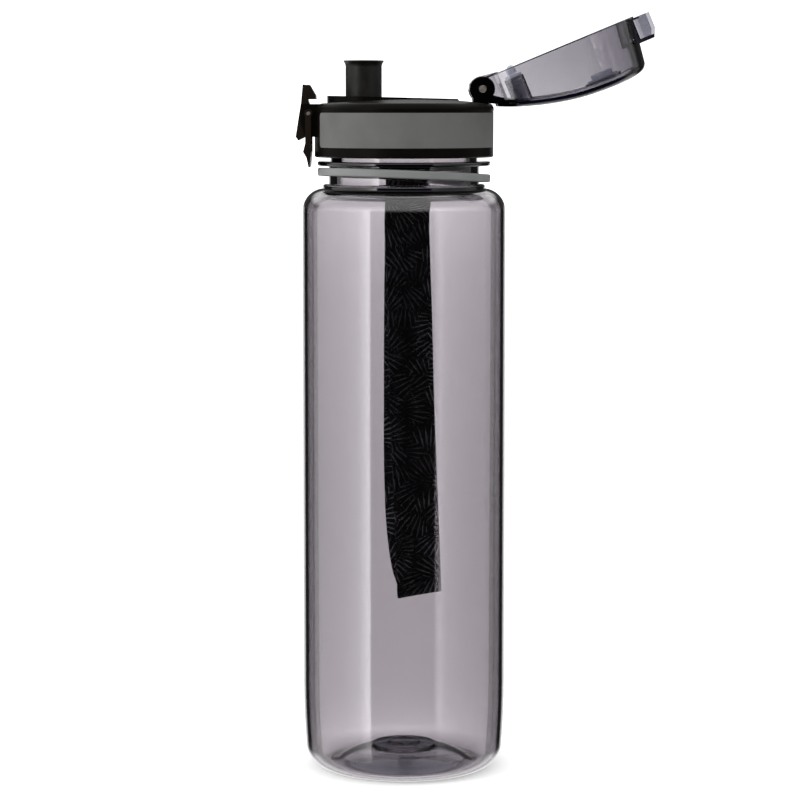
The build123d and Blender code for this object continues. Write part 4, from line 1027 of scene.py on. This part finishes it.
@dataclass
class BottleBody:
    """The blown body, as one closed surface of revolution with the screw ridges raised on its neck."""

    radius: float = 0.0405
    wall: float = 0.0018
    shoulder_r: float = 0.0090
    shoulder_z: float = 0.2245
    corner_r: float = 0.0096
    ring_r: float = 0.0300
    ring_w: float = 0.0009
    taper_deg: float = 4.0
    dome_rise: float = 0.0059
    dome_r: float = 0.0136
    step_r: float = 0.0072
    step_h: float = 0.0012
    floor: float = 0.0019
    neck_r: float = 0.0299
    neck_wall: float = 0.0019
    bead_r: float = 0.0323
    bead_top: float = 0.23515
    flange_r: float = 0.0344
    flange_z: float = 0.2424
    flange_t: float = 0.0018
    finish_r: float = 0.0293
    rim_z: float = 0.2622
    lead: float = 0.0090
    starts: int = 2
    turns: float = 0.85
    ridge_z: float = 0.25095
    ridge_foot: float = 0.0022
    ridge_crest: float = 0.0010
    ridge_h: float = 0.0014
    ease_turns: float = 0.03
    segments: int = 224
    bead_round: float = 0.6
    flange_round: float = 0.35
    lip_round: float = 0.3
    step_draft: float = 0.4

    def profile(self) -> tuple[np.ndarray, tuple[float, float]]:
        """The wall's outline from the foot's middle round the rim and back to the floor's middle.

        Returns:
            Rows of radius and height, and the heights between which the screw ridges may rise.
        """
        taper = math.radians(self.taper_deg)
        corner = (self.ring_r, self.corner_r)
        taper_r = (self.radius - self.ring_r - self.corner_r * math.cos(taper)) / (1 - math.cos(taper))
        wall_z = self.corner_r * (1 - math.sin(taper)) + taper_r * math.sin(taper)
        taper_c = (self.radius - taper_r, wall_z)
        shoulder = (self.radius - self.shoulder_r, self.shoulder_z)
        bead_z = self.shoulder_z + math.sqrt(self.shoulder_r ** 2 - (self.bead_r - shoulder[0]) ** 2)
        bead_deg = math.degrees(math.atan2(bead_z - self.shoulder_z, self.bead_r - shoulder[0]))
        bead_edge = self.bead_round * (self.bead_top - bead_z)
        edge = self.flange_round * self.flange_t
        low, high = self.flange_z + edge, self.flange_z + self.flange_t - edge
        lip = self.lip_round * self.neck_wall
        dome_out = self.ring_r - 4.5 * self.ring_w
        dome_z, ring_z = 0.32 * self.dome_rise, 0.1 * self.dome_rise
        mid_r, mid_z = (self.dome_r + dome_out) / 2, (self.dome_rise + dome_z) / 2 + 0.12 * self.dome_rise
        step_z, top_z = self.dome_rise + self.step_h, self.dome_rise + 2 * self.step_h
        inset, f, draft = 0.25 * self.floor, self.floor, self.step_draft * self.step_h
        finish_low, finish_high = self.flange_z + self.flange_t, self.rim_z - lip
        line = Outline(0, top_z).line(self.step_r - draft, top_z, 3).line(self.step_r, step_z, 2)
        line.line(self.dome_r - draft, step_z, 3).line(self.dome_r, self.dome_rise, 2)
        line.through((mid_r, mid_z), (dome_out, dome_z), 12)
        line.through((self.ring_r - 2.2 * self.ring_w, ring_z), (self.ring_r - self.ring_w, 0), 5)
        line.line(self.ring_r, 0).arc(corner, self.corner_r, -90, -self.taper_deg, 18)
        line.arc(taper_c, taper_r, -self.taper_deg, 0, 8).line(self.radius, self.shoulder_z, 12)
        line.arc(shoulder, self.shoulder_r, 0, bead_deg, 12)
        line.line(self.bead_r, self.bead_top - bead_edge, 2)
        line.arc((self.bead_r - bead_edge, self.bead_top - bead_edge), bead_edge, 0, 90, 6)
        line.line(self.neck_r, self.bead_top, 2).line(self.neck_r, self.flange_z, 4)
        line.line(self.flange_r - edge, self.flange_z, 2).arc((self.flange_r - edge, low), edge, -90, 0, 4)
        line.line(self.flange_r, high).arc((self.flange_r - edge, high), edge, 0, 90, 4)
        line.line(self.finish_r, finish_low, 2).line(self.finish_r, finish_high, 60)
        line.arc((self.finish_r - lip, finish_high), lip, 0, 90, 5)
        bore = self.finish_r - self.neck_wall
        line.line(bore, self.rim_z, 2).line(bore, self.flange_z, 6)
        inner = self.neck_r - self.neck_wall
        line.line(inner, self.flange_z - self.neck_wall, 2).line(inner, self.bead_top, 2)
        line.through((inner + 0.5 * self.neck_wall, bead_z - 0.7 * self.wall),
                     (shoulder[0], self.shoulder_z + self.shoulder_r - self.wall), 8)
        line.arc(shoulder, self.shoulder_r - self.wall, 90, 0, 14).line(self.radius - self.wall, wall_z, 12)
        line.arc(taper_c, taper_r - self.wall, 0, -self.taper_deg, 8)
        line.arc(corner, self.corner_r - self.wall, -self.taper_deg, -90, 16)
        line.through((self.ring_r - 3 * self.ring_w, ring_z + f), (dome_out - inset, dome_z + f), 5)
        line.through((mid_r - inset, mid_z + f), (self.dome_r - inset, self.dome_rise + f), 12)
        line.line(self.dome_r - 2 * draft, step_z + f, 2).line(self.step_r - draft, step_z + f, 2)
        line.line(self.step_r - 2 * draft, top_z + f, 2).line(0, top_z + f, 3)
        return line.points(), (finish_low + 0.0001, finish_high - 0.0001)

    def ridges(self, points: np.ndarray, zone: tuple[float, float]) -> np.ndarray:
        """Raises the screw ridges out of the neck's outer wall.

        Where the helix of a start passes a point's angle at height c, the wall rises by the ridge's height
        times how far the point's height is inside the ridge's slanting flanks, and eases to nothing at the
        helix's ends.

        Args:
            points: The body's grid, (rows, columns, 3).
            zone: Lowest and highest height of the threaded wall.

        Returns:
            The grid with its ridges.
        """
        radius = np.linalg.norm(points[..., :2], axis=-1)
        turn = np.arctan2(points[..., 1], points[..., 0])
        z = points[..., 2]
        outside = (abs(radius - self.finish_r) < 1e-6) & (z > zone[0]) & (z < zone[1])
        rise = np.zeros_like(z)
        slope = (self.ridge_foot - self.ridge_crest) / 2
        for start in range(self.starts):
            share = ((turn / (2 * np.pi)) - start / self.starts) % 1.0
            centre = self.ridge_z + self.lead * share
            flank = np.clip((self.ridge_foot / 2 - abs(z - centre)) / slope, 0, 1)
            ease = np.clip(np.minimum(share, self.turns - share) / self.ease_turns, 0, 1)
            rise = np.maximum(rise, flank * ease)
        scale = np.where(outside, 1 + rise * self.ridge_h / np.maximum(radius, 1e-9), 1.0)
        return np.concatenate([points[..., :2] * scale[..., None], points[..., 2:]], axis=-1)

    def build(self, finishes: Finishes) -> None:
        """Builds the body and hands it to the frame.

        Args:
            finishes: The bottle's finishes.
        """
        profile, zone = self.profile()
        points = self.ridges(revolved(profile, self.segments), zone)
        faces = Skin.faces(*points.shape[:2]).tolist()
        body = Skin.object_of("clear_body", points, faces, sharp=42.0)
        finishes.dress(body, Slot.BOTTLE)
        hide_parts("bottle_body")
        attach(body, "bottle")
        log.info("clear_body: %d faces", len(body.data.polygons))


@dataclass
class CarryStrap:
    """The webbing loop through the neck ring's eye, and the sewn box that closes it.

    The strap is laid out in its own frame, straight behind the body, and turned about Z by turn_deg. Drifts
    are sideways, in strap widths; leans are turns in the strap's own plane, in degrees.

    Attributes:
        near_ply: Depth under the shoulder as a share of the drop, drift and lean, down the ply at the body.
        far_ply: The same with a bow away from the body, in fold radii, after the drift; back up to the ring.
        steps: Points per stretch between two stations.
        sewn_inset: How far inside the lap's outline the stitches run.
        stitch: A stitch's length.
        stitch_sway: How far the stitches swing to each side.
        thread_r: The thread's radius.
    """

    UV_NAME = "strap_cloth"
    width: float = 0.0192
    thickness: float = 0.0012
    body_r: float = 0.0405
    body_gap: float = 0.00045
    ply_gap: float = 0.0009
    fold_r: float = 0.0024
    lap_gap: float = 0.00005
    lap: float = 0.0160
    lap_z: float = 0.2120
    bottom_z: float = 0.0620
    shoulder_z: float = 0.2245
    shoulder_r: float = 0.0090
    bar_centre: tuple[float, float, float] = (0.001752, 0.039137, 0.237282)
    bar_lean_deg: float = -2.1
    bar_r: float = 0.0012
    bar_gap: float = 0.0004
    turn_deg: float = -2.6
    drift_top: float = -0.034
    drift_fold: float = 0.249
    lean_fold: float = 10.3
    near_ply: tuple = ((0.015, -0.028, -1.0), (0.126, -0.010, 0.0), (0.274, 0.034, 0.0), (0.495, 0.082, 0.6),
                       (0.668, 0.142, 1.2), (0.766, 0.178, 2.2), (0.889, 0.222, 5.0))
    far_ply: tuple = ((0.920, 0.112, 0.67, 8.5), (0.849, 0.020, 0.79, 6.0), (0.791, -0.022, 0.75, 3.5),
                      (0.705, -0.048, 0.58, 1.0), (0.458, -0.056, 0.25, 0.0), (0.212, -0.044, 0.04, 0.0),
                      (0.114, -0.034, 0.0, 0.0), (0.003, -0.034, 0.0, 0.0))
    steps: int = 10
    sewn_inset: float = 0.0006
    stitch: float = 0.00062
    stitch_sway: float = 0.00042
    thread_r: float = 0.00019

    def route(self) -> np.ndarray:
        """The strap's middle line, once round the loop from the lap's lower end to the far ply's top.

        Returns:
            Rows of x, y, z and lean in degrees, in the strap's own frame.
        """
        bar_y, bar_z = math.hypot(*self.bar_centre[:2]), self.bar_centre[2]
        wrap = self.bar_r + self.bar_gap + self.thickness / 2
        near = self.body_r + self.body_gap + self.thickness / 2
        far = near + self.thickness + self.ply_gap
        lap = far + self.thickness + self.lap_gap
        fold_z = self.bottom_z + self.fold_r + self.thickness / 2
        drop = self.shoulder_z - self.bottom_z
        top_x = self.drift_top * self.width
        half_turn = np.radians(np.arange(0, 181, 30))
        lean = self.bar_lean_deg
        rows = [(top_x, lap, self.lap_z, 0.0), (top_x, lap, self.lap_z + 0.8 * self.lap, 0.0),
                (top_x, lap, self.lap_z + self.lap, 0.5 * lean)]
        rows += [(0.0, bar_y + wrap * math.cos(a), bar_z + wrap * math.sin(a), lean) for a in half_turn]
        rows += [(0.0, bar_y - wrap + 0.3 * self.thickness, bar_z - 1.4 * wrap, lean),
                 (0.0, near - 0.4 * self.thickness, self.shoulder_z + 0.55 * self.shoulder_r, lean)]
        rows += [(drift * self.width, near, self.shoulder_z - depth * drop, tip)
                 for depth, drift, tip in self.near_ply]
        rows += [(self.drift_fold * self.width, near + self.fold_r * (1 - math.cos(a)),
                  fold_z - self.fold_r * math.sin(a), self.lean_fold) for a in half_turn]
        rows += [(drift * self.width, far + bow * self.fold_r, self.shoulder_z - depth * drop, tip)
                 for depth, drift, bow, tip in self.far_ply]
        return np.array(rows)

    def to_row(self, rows: np.ndarray) -> np.ndarray:
        """Turns directions or points from the strap's frame about Z into the row's."""
        a = math.radians(self.turn_deg)
        turn = np.array([[math.cos(a), -math.sin(a), 0], [math.sin(a), math.cos(a), 0], [0, 0, 1]])
        return rows @ turn.T

    def section(self) -> np.ndarray:
        """The strap's cross-section: a flat strip with half round selvedges.

        Returns:
            Points of across and up, (columns, 2).
        """
        half, thick = self.width / 2, self.thickness / 2
        end = np.radians(np.linspace(-90, 90, 7))
        right = np.column_stack([half - 0.6 * thick + 0.6 * thick * np.cos(end), thick * np.sin(end)])
        flat = np.linspace(half - 0.6 * thick, -half + 0.6 * thick, 13)[1:-1]
        top = np.column_stack([flat, np.full_like(flat, thick)])
        return np.concatenate([right, top, -right, -top])

    def strip(self) -> tuple[np.ndarray, np.ndarray, np.ndarray]:
        """The strap's surface.

        Returns:
            Its points, its place across in widths and its place along in widths.
        """
        rows = smooth_line(self.route(), self.steps)
        line, lean = rows[:, :3], np.radians(rows[:, 3])
        way = unit(np.gradient(line, axis=0))
        across = np.column_stack([np.cos(lean), 0 * lean, np.sin(lean)])
        across = unit(across - way * (across * way).sum(1, keepdims=True))
        up = np.cross(way, across)
        section = self.section()
        points = swept(self.to_row(line), self.to_row(across), self.to_row(up), section)
        run = np.concatenate([[0], np.cumsum(np.linalg.norm(np.diff(line, axis=0), axis=1))])
        return points, section[:, 0] / self.width + 0.5, run / self.width

    def build(self, finishes: Finishes) -> None:
        """Builds the webbing and its stitches and hands them to the frame.

        Args:
            finishes: The bottle's finishes.
        """
        points, u, v = self.strip()
        strap = Skin.rod("webbing_loop", points, sharp=70.0, merge=1e-9)
        mesh, columns = strap.data, points.shape[1]
        corner = np.zeros(len(mesh.loops), dtype=np.int32)
        mesh.loops.foreach_get("vertex_index", corner)
        layer = mesh.uv_layers.new(name=self.UV_NAME)
        uv = np.column_stack([u[corner % columns], v[corner // columns]])
        layer.data.foreach_set("uv", uv.ravel())
        finishes.dress(strap, Slot.WEBBING)
        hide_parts("carry_strap")
        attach(strap, "strap")
        log.info("webbing_loop: %d faces, %.3f m long", len(mesh.polygons), v[-1] * self.width)
        self.stitches(finishes)

    def stitches(self, finishes: Finishes) -> None:
        """Sews the lap: one thread that zigzags round a box of four bars.

        The thread's line is the box's outline plus a triangle wave across it.

        Args:
            finishes: The bottle's finishes.
        """
        low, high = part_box("strap_bartack")
        x0, x1 = low.x + self.sewn_inset, high.x - self.sewn_inset
        z0, z1 = low.z + self.sewn_inset, high.z - self.sewn_inset
        corners = np.array([(x0, z0), (x1, z0), (x1, z1), (x0, z1), (x0, z0)])
        sides = np.linalg.norm(np.diff(corners, axis=0), axis=1)
        run = np.arange(0, sides.sum(), self.stitch / 2)
        edge = np.concatenate([[0], np.cumsum(sides)])
        place = np.column_stack([np.interp(run, edge, part) for part in corners.T])
        sway = np.where(np.arange(len(run)) % 2 == 0, 1.0, -1.0)[:, None] * self.stitch_sway
        place = place + unit(place - place.mean(0)) * sway
        slope, centre = math.tan(math.radians(self.turn_deg)), (low.x + high.x) / 2
        y = high.y - 1.4 * self.thread_r + slope * (place[:, 0] - centre) - abs(slope) * (high.x - low.x) / 2
        line = np.column_stack([place[:, 0], y, place[:, 1]])
        thread = Skin.rod("box_stitches", wire_skin(line, self.thread_r, 6), sharp=80.0, merge=1e-9)
        finishes.dress(thread, Slot.STITCHING)
        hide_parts("strap_bartack")
        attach(thread, "strap")
        log.info("box_stitches: %d faces", len(thread.data.polygons))


@dataclass
class TorsionSpring:
    """A torsion spring along Y, as two pieces: the coils with the leg that stays, and the leg that turns.

    The turning piece also has a flat stretch of coil as long as its swing, so the wire runs on in every
    pose.

    Attributes:
        node: The CAD node that it stands for.
        mover: The body that turns its moving leg.
        swing_deg: How far that body turns.
        centre: The coils' axis, X and Z.
        coil_r: The coils' middle radius.
        wire_r: The wire's radius.
        pitch: The coils' rise per turn.
        first: Angle in degrees and length of the leg at the +Y end.
        last: Angle and length of the leg at the -Y end.
        first_moves: Whether the first leg is the one that turns.
        coils: Whole turns.
        steps: Points per turn.
        sides: Points round the wire.
        leg_steps: Points along the first and the last leg.
    """

    node: str
    mover: str
    swing_deg: float
    centre: tuple[float, float]
    coil_r: float
    wire_r: float
    pitch: float
    first: tuple[float, float]
    last: tuple[float, float]
    first_moves: bool = False
    coils: int = 5
    steps: int = 40
    sides: int = 12
    leg_steps: tuple[int, int] = (8, 14)

    def coil(self, turns: np.ndarray, rise: np.ndarray) -> np.ndarray:
        """Points on the coil: a circle about the axis, sunk along Y.

        Args:
            turns: Turns from the first leg.
            rise: Turns' worth of pitch that each point is sunk from the +Y end.

        Returns:
            Points, (count, 3).
        """
        a = np.radians(self.first[0] + 360 * turns)
        half = self.total() * self.pitch / 2
        return np.column_stack([self.centre[0] + self.coil_r * np.cos(a), half - self.pitch * rise,
                                self.centre[1] + self.coil_r * np.sin(a)])

    def total(self) -> float:
        """All the coil's turns from leg to leg."""
        return self.coils + ((self.last[0] - self.first[0]) % 360) / 360

    def leg(self, angle_deg: float, reach: np.ndarray) -> np.ndarray:
        """Steps along the coil's tangent at an angle.

        Args:
            angle_deg: Where the leg leaves the coil.
            reach: Distances along the leg, minus against the winding.

        Returns:
            Offsets, (count, 3).
        """
        a = math.radians(angle_deg)
        way = np.array([-math.sin(a), -self.pitch / (2 * math.pi * self.coil_r), math.cos(a)])
        return reach[:, None] * (way / np.linalg.norm(way))

    def wire(self, name: str, line: np.ndarray) -> bpy.types.Object:
        """Carries the wire's round section along a line.

        Args:
            name: The piece's name.
            line: The line's points.

        Returns:
            The piece.
        """
        return Skin.rod(name, wire_skin(line, self.wire_r, self.sides), sharp=38.0, merge=1e-7)

    def build(self, finishes: Finishes) -> None:
        """Makes both pieces.

        Args:
            finishes: The bottle's finishes.
        """
        total, share = self.total(), self.swing_deg / 360
        run = np.linspace(share if self.first_moves else 0.0, total, int(self.steps * total))
        flat = np.linspace(0, share, max(4, int(self.steps * share)))
        early = np.linspace(-self.first[1], 0, self.leg_steps[0])[:-1]
        late = np.linspace(0, self.last[1], self.leg_steps[1])[1:]
        ends, coils = self.coil(np.array([0, total]), np.array([0, total])), self.coil(run, run)
        first_leg = ends[:1] + self.leg(self.first[0], early)
        last_leg = ends[1:] + self.leg(self.last[0], late)
        if self.first_moves:
            still = np.concatenate([coils, last_leg])
            turning = np.concatenate([first_leg, self.coil(flat, 0 * flat)])
        else:
            still = np.concatenate([first_leg, coils])
            turning = np.concatenate([self.coil(total - share + flat, 0 * flat + total), last_leg])
        coil = self.wire(f"{self.node}_coils", still)
        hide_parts(self.node)
        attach(coil, "lid")
        leg = self.wire(f"{self.node}_leg", turning)
        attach(leg, self.mover)
        for piece in (coil, leg):
            finishes.dress(piece, Slot.SPRING)
            log.info("%s: %d faces", piece.name, len(piece.data.polygons))


@dataclass
class Mouldings:
    """The CAD nodes whose shape is right as it is: they keep their meshes and take their finishes here."""

    def build(self, finishes: Finishes) -> None:
        """Dresses every node that stays.

        Args:
            finishes: The bottle's finishes.
        """
        nodes = {
            Slot.COVER: ("cover_dome",),
            Slot.PLUG: ("spout_plug", "vent_plug"),
            Slot.LID: ("lid_shell", "lid_liner", "lid_deck"),
            Slot.LATCH: ("latch_lever", "lock_bail"),
            Slot.BAND: ("lid_band",),
            Slot.RING: ("neck_ring",),
            Slot.SPOUT: ("spout",),
            Slot.RUBBER: ("vent_valve", "lid_gasket"),
            Slot.PIN: ("hinge_pin", "latch_pin"),
            Slot.STRAINER: ("strainer_cup",),
        }
        for slot, names in nodes.items():
            for name in names:
                finishes.dress(frame["nodes"][name], slot)
                log.info("%s: dressed as %s", name, slot.value)


@dataclass
class Studio:
    """The camera at the photograph's angle, the pale floor and the soft light.

    Attributes:
        distance: How far the camera stands in front of the bottle's axis.
        height: Its height.
        aside: How far it stands to the right.
        pitch_deg: How far it looks down.
        lens: Its focal length in millimetres.
        sensor: Its picture's width in millimetres.
        clip: The nearest and farthest that it sees.
        floor: The floor's width.
        glow: How brightly the floor glows at each distance from the axis: dim under the foot as a painted
            shadow, brightest just round it.
        boxes: How bright the mirrored studio is at each compass angle, from behind round the left, the
            front and the right.
        overhead: How bright the mirrored ceiling is.
        low: How bright the mirrored studio is below the floor's edge, in front and behind.
        beyond: How bright the mirrored strip over the horizon behind the bottle is.
        backdrop: How bright the world is seen straight, over and under the horizon.
        on_matt: How bright it is for matt surfaces.
        soft_lamps: Name, place, size and power of each lamp.
        lamp_aim: The point that they look at.
    """

    distance: float = 1.11375
    height: float = 0.2663
    aside: float = -0.0016
    pitch_deg: float = 6.03
    lens: float = 125.55
    sensor: float = 36.0
    floor: float = 16.0
    clip: tuple[float, float] = (0.01, 50.0)
    glow: tuple = ((0.0, 0.3), (0.030, 0.3), (0.043, 1.25), (0.07, 0.88), (0.10, 0.72), (0.14, 0.60),
                   (0.22, 0.55), (0.38, 0.53), (0.76, 0.56), (1.41, 0.66), (2.7, 0.78), (3.15, 0.83),
                   (3.7, 0.90), (4.43, 1.02), (5.3, 1.14), (6.5, 1.26), (8.0, 1.4))
    boxes: tuple = ((-180, 1.1), (-159, 1.0), (-154.5, 0.03), (-125, 0.05), (-123, 1.0), (-109, 1.0),
                    (-91, 1.1), (-72, 1.3), (-64, 1.6), (-55.6, 1.9), (-50, 2.8), (-46, 3.9),
                    (-39.6, 5.4), (-38.4, 0.1), (-35, 0.02), (35, 0.02), (39, 0.05), (40.5, 1.1),
                    (50, 0.6), (57, 0.5), (74, 0.4), (92, 0.4), (111, 0.5), (123, 0.5), (125, 0.05),
                    (154.5, 0.03), (159, 1.0), (180, 1.1))
    overhead: float = 1.9
    low: tuple[float, float] = (0.04, 1.7)
    beyond: float = 0.08
    backdrop: tuple[float, float] = (1.25, 1.9)
    on_matt: float = 0.42
    soft_lamps: tuple = (("left_soft_lamp", (-1.1, -0.7, 0.7), 0.7, 8.0),
                         ("right_soft_lamp", (0.9, -0.2, 0.9), 0.6, 1.5))
    lamp_aim: tuple[float, float, float] = (0.0, 0.0, 0.2)

    def camera(self) -> None:
        """Sets the camera in front of the bottle, tipped down a little."""
        data = bpy.data.cameras.new("photo_camera")
        data.lens, data.sensor_width, data.sensor_height = self.lens, self.sensor, self.sensor
        data.clip_start, data.clip_end = self.clip
        made = bpy.data.objects.new("photo_camera", data)
        made.location = (self.aside, -self.distance, self.height)
        made.rotation_euler = (math.radians(90 - self.pitch_deg), 0, 0)
        bpy.context.scene.collection.objects.link(made)
        bpy.context.scene.camera = made

    def ground(self) -> None:
        """Lays the floor: one wide square with a faint mottle, whose glow is dim under the foot as a painted
        shadow.
        """
        half = self.floor / 2
        corners = np.array([(-half, -half, 0), (half, -half, 0), (half, half, 0), (-half, half, 0)], float)
        mesh = bpy.data.meshes.new("pale_floor")
        mesh.from_pydata(corners.tolist(), [], [(0, 1, 2, 3)])
        made = bpy.data.objects.new("pale_floor", mesh)
        bpy.context.scene.collection.objects.link(made)
        material, tree = blank_material("pale_floor_paint")
        place = tree.object_place()
        colour = tree.mix(tree.noise(place, 3.0, 2.0), grey(0.86), grey(0.90))
        reach = tree.maths("DIVIDE", tree.length(place), half)
        # Painted shadow: the floor's glow is dim under the bottle's foot.
        glow = tree.ramp(reach, tuple((metres / half, value) for metres, value in self.glow))
        paint = tree.add("BsdfPrincipled", {"Base Color": colour, "Roughness": 0.9, "Emission Color": glow,
                                            "Specular IOR Level": 0.0, "Emission Strength": 1.0})
        mirrored = tree.maths("GREATER_THAN", tree.add("LightPath").outputs["Glossy Depth"], 0.5)
        unseen = tree.add("BsdfTransparent")
        shown = tree.add("MixShader", {0: mirrored, 1: paint.outputs[0], 2: unseen.outputs[0]})
        tree.add("OutputMaterial", {"Surface": shown.outputs[0]})
        made.data.materials.append(material)
        made.visible_glossy = False
        made.visible_diffuse = False

    def sky(self) -> None:
        """Surrounds the bottle with light.

        Seen directly or through the walls the world is white. What the surfaces mirror is a studio: a bright
        soft box on the left, a dim one on the right, a dark gap in front and one on each side of the pale
        back. They are a ramp over the compass angle of the mirrored direction.
        """
        world = bpy.data.worlds.new("soft_studio")
        world.use_nodes = True
        bpy.context.scene.world = world
        tree = ShaderTree(world.node_tree)
        x, y, z = tree.parts(tree.add("TexCoord").outputs["Generated"])
        compass = tree.maths("ARCTAN2", x, tree.times(y, -1.0))
        share = tree.maths("MULTIPLY_ADD", compass, 0.5 / math.pi, 0.5)
        boxes = tree.ramp(share, tuple((degrees / 360 + 0.5, value) for degrees, value in self.boxes))
        mirrored = tree.mix(tree.step(z, 0.15, 0.4), boxes, grey(self.overhead))
        low = tree.mix(tree.step(y, -0.05, 0.25), grey(self.low[0]), grey(self.low[1]))
        mirrored = tree.mix(tree.step(z, -0.26, -0.42), mirrored, low)
        beyond = tree.times(tree.step(y, 0.3, 0.5), tree.step(z, 0.015, 0.04))
        mirrored = tree.mix(tree.times(beyond, tree.step(z, 0.35, 0.25)), mirrored, grey(self.beyond))
        ray = tree.add("LightPath").outputs
        through = tree.times(ray["Is Transmission Ray"], tree.maths("LESS_THAN", ray["Glossy Depth"], 0.5))
        straight = tree.maths("MAXIMUM", ray["Is Camera Ray"], through)
        backdrop = tree.mix(tree.step(z, 0.03, -0.03), grey(self.backdrop[0]), grey(self.backdrop[1]))
        colour = tree.mix(straight, mirrored, backdrop)
        colour = tree.mix(ray["Is Diffuse Ray"], colour, grey(self.on_matt))
        back = tree.add("Background", {"Color": colour, "Strength": 1.0})
        tree.add("OutputWorld", {"Surface": back.outputs[0]})

    def lamps(self) -> None:
        """Adds two large soft lamps for the opaque parts, unseen but for their light."""
        for name, place, size, power in self.soft_lamps:
            data = bpy.data.lights.new(name, "AREA")
            data.shape, data.size, data.energy = "SQUARE", size, power
            made = bpy.data.objects.new(name, data)
            made.location = place
            aim = Vector(self.lamp_aim) - Vector(place)
            made.rotation_euler = aim.to_track_quat("-Z", "Y").to_euler()
            made.visible_camera = False
            made.visible_glossy = False
            made.visible_transmission = False
            bpy.context.scene.collection.objects.link(made)

    def build(self) -> None:
        """Makes the camera, floor and light."""
        self.camera()
        self.ground()
        self.sky()
        self.lamps()
        bpy.context.scene.view_settings.view_transform = "Standard"
        log.info("studio ready")


def main() -> None:
    """Builds the studio and then the bottle, piece by piece."""
    logging.basicConfig(level=logging.INFO, format="%(name)s %(message)s")
    Studio().build()
    finishes = Finishes()
    hinge = TorsionSpring("hinge_spring", "cover", swing_deg=159.5, centre=(0.0309, 0.2727), coil_r=0.0026,
                          wire_r=0.0004, pitch=0.00135, first=(-57.444, 0.005219),
                          last=(-95.460, 0.013268))
    latch = TorsionSpring("latch_spring", "latch", swing_deg=18.0, centre=(-0.0377, 0.2631),
                          coil_r=0.00135, wire_r=0.00025, pitch=0.00095, first=(-13.634, 0.004077),
                          last=(-11.066, 0.002006), first_moves=True)
    for part in (BottleBody(), CarryStrap(), hinge, latch, Mouldings()):
        part.build(finishes)


if __name__ == "__main__":
    main()
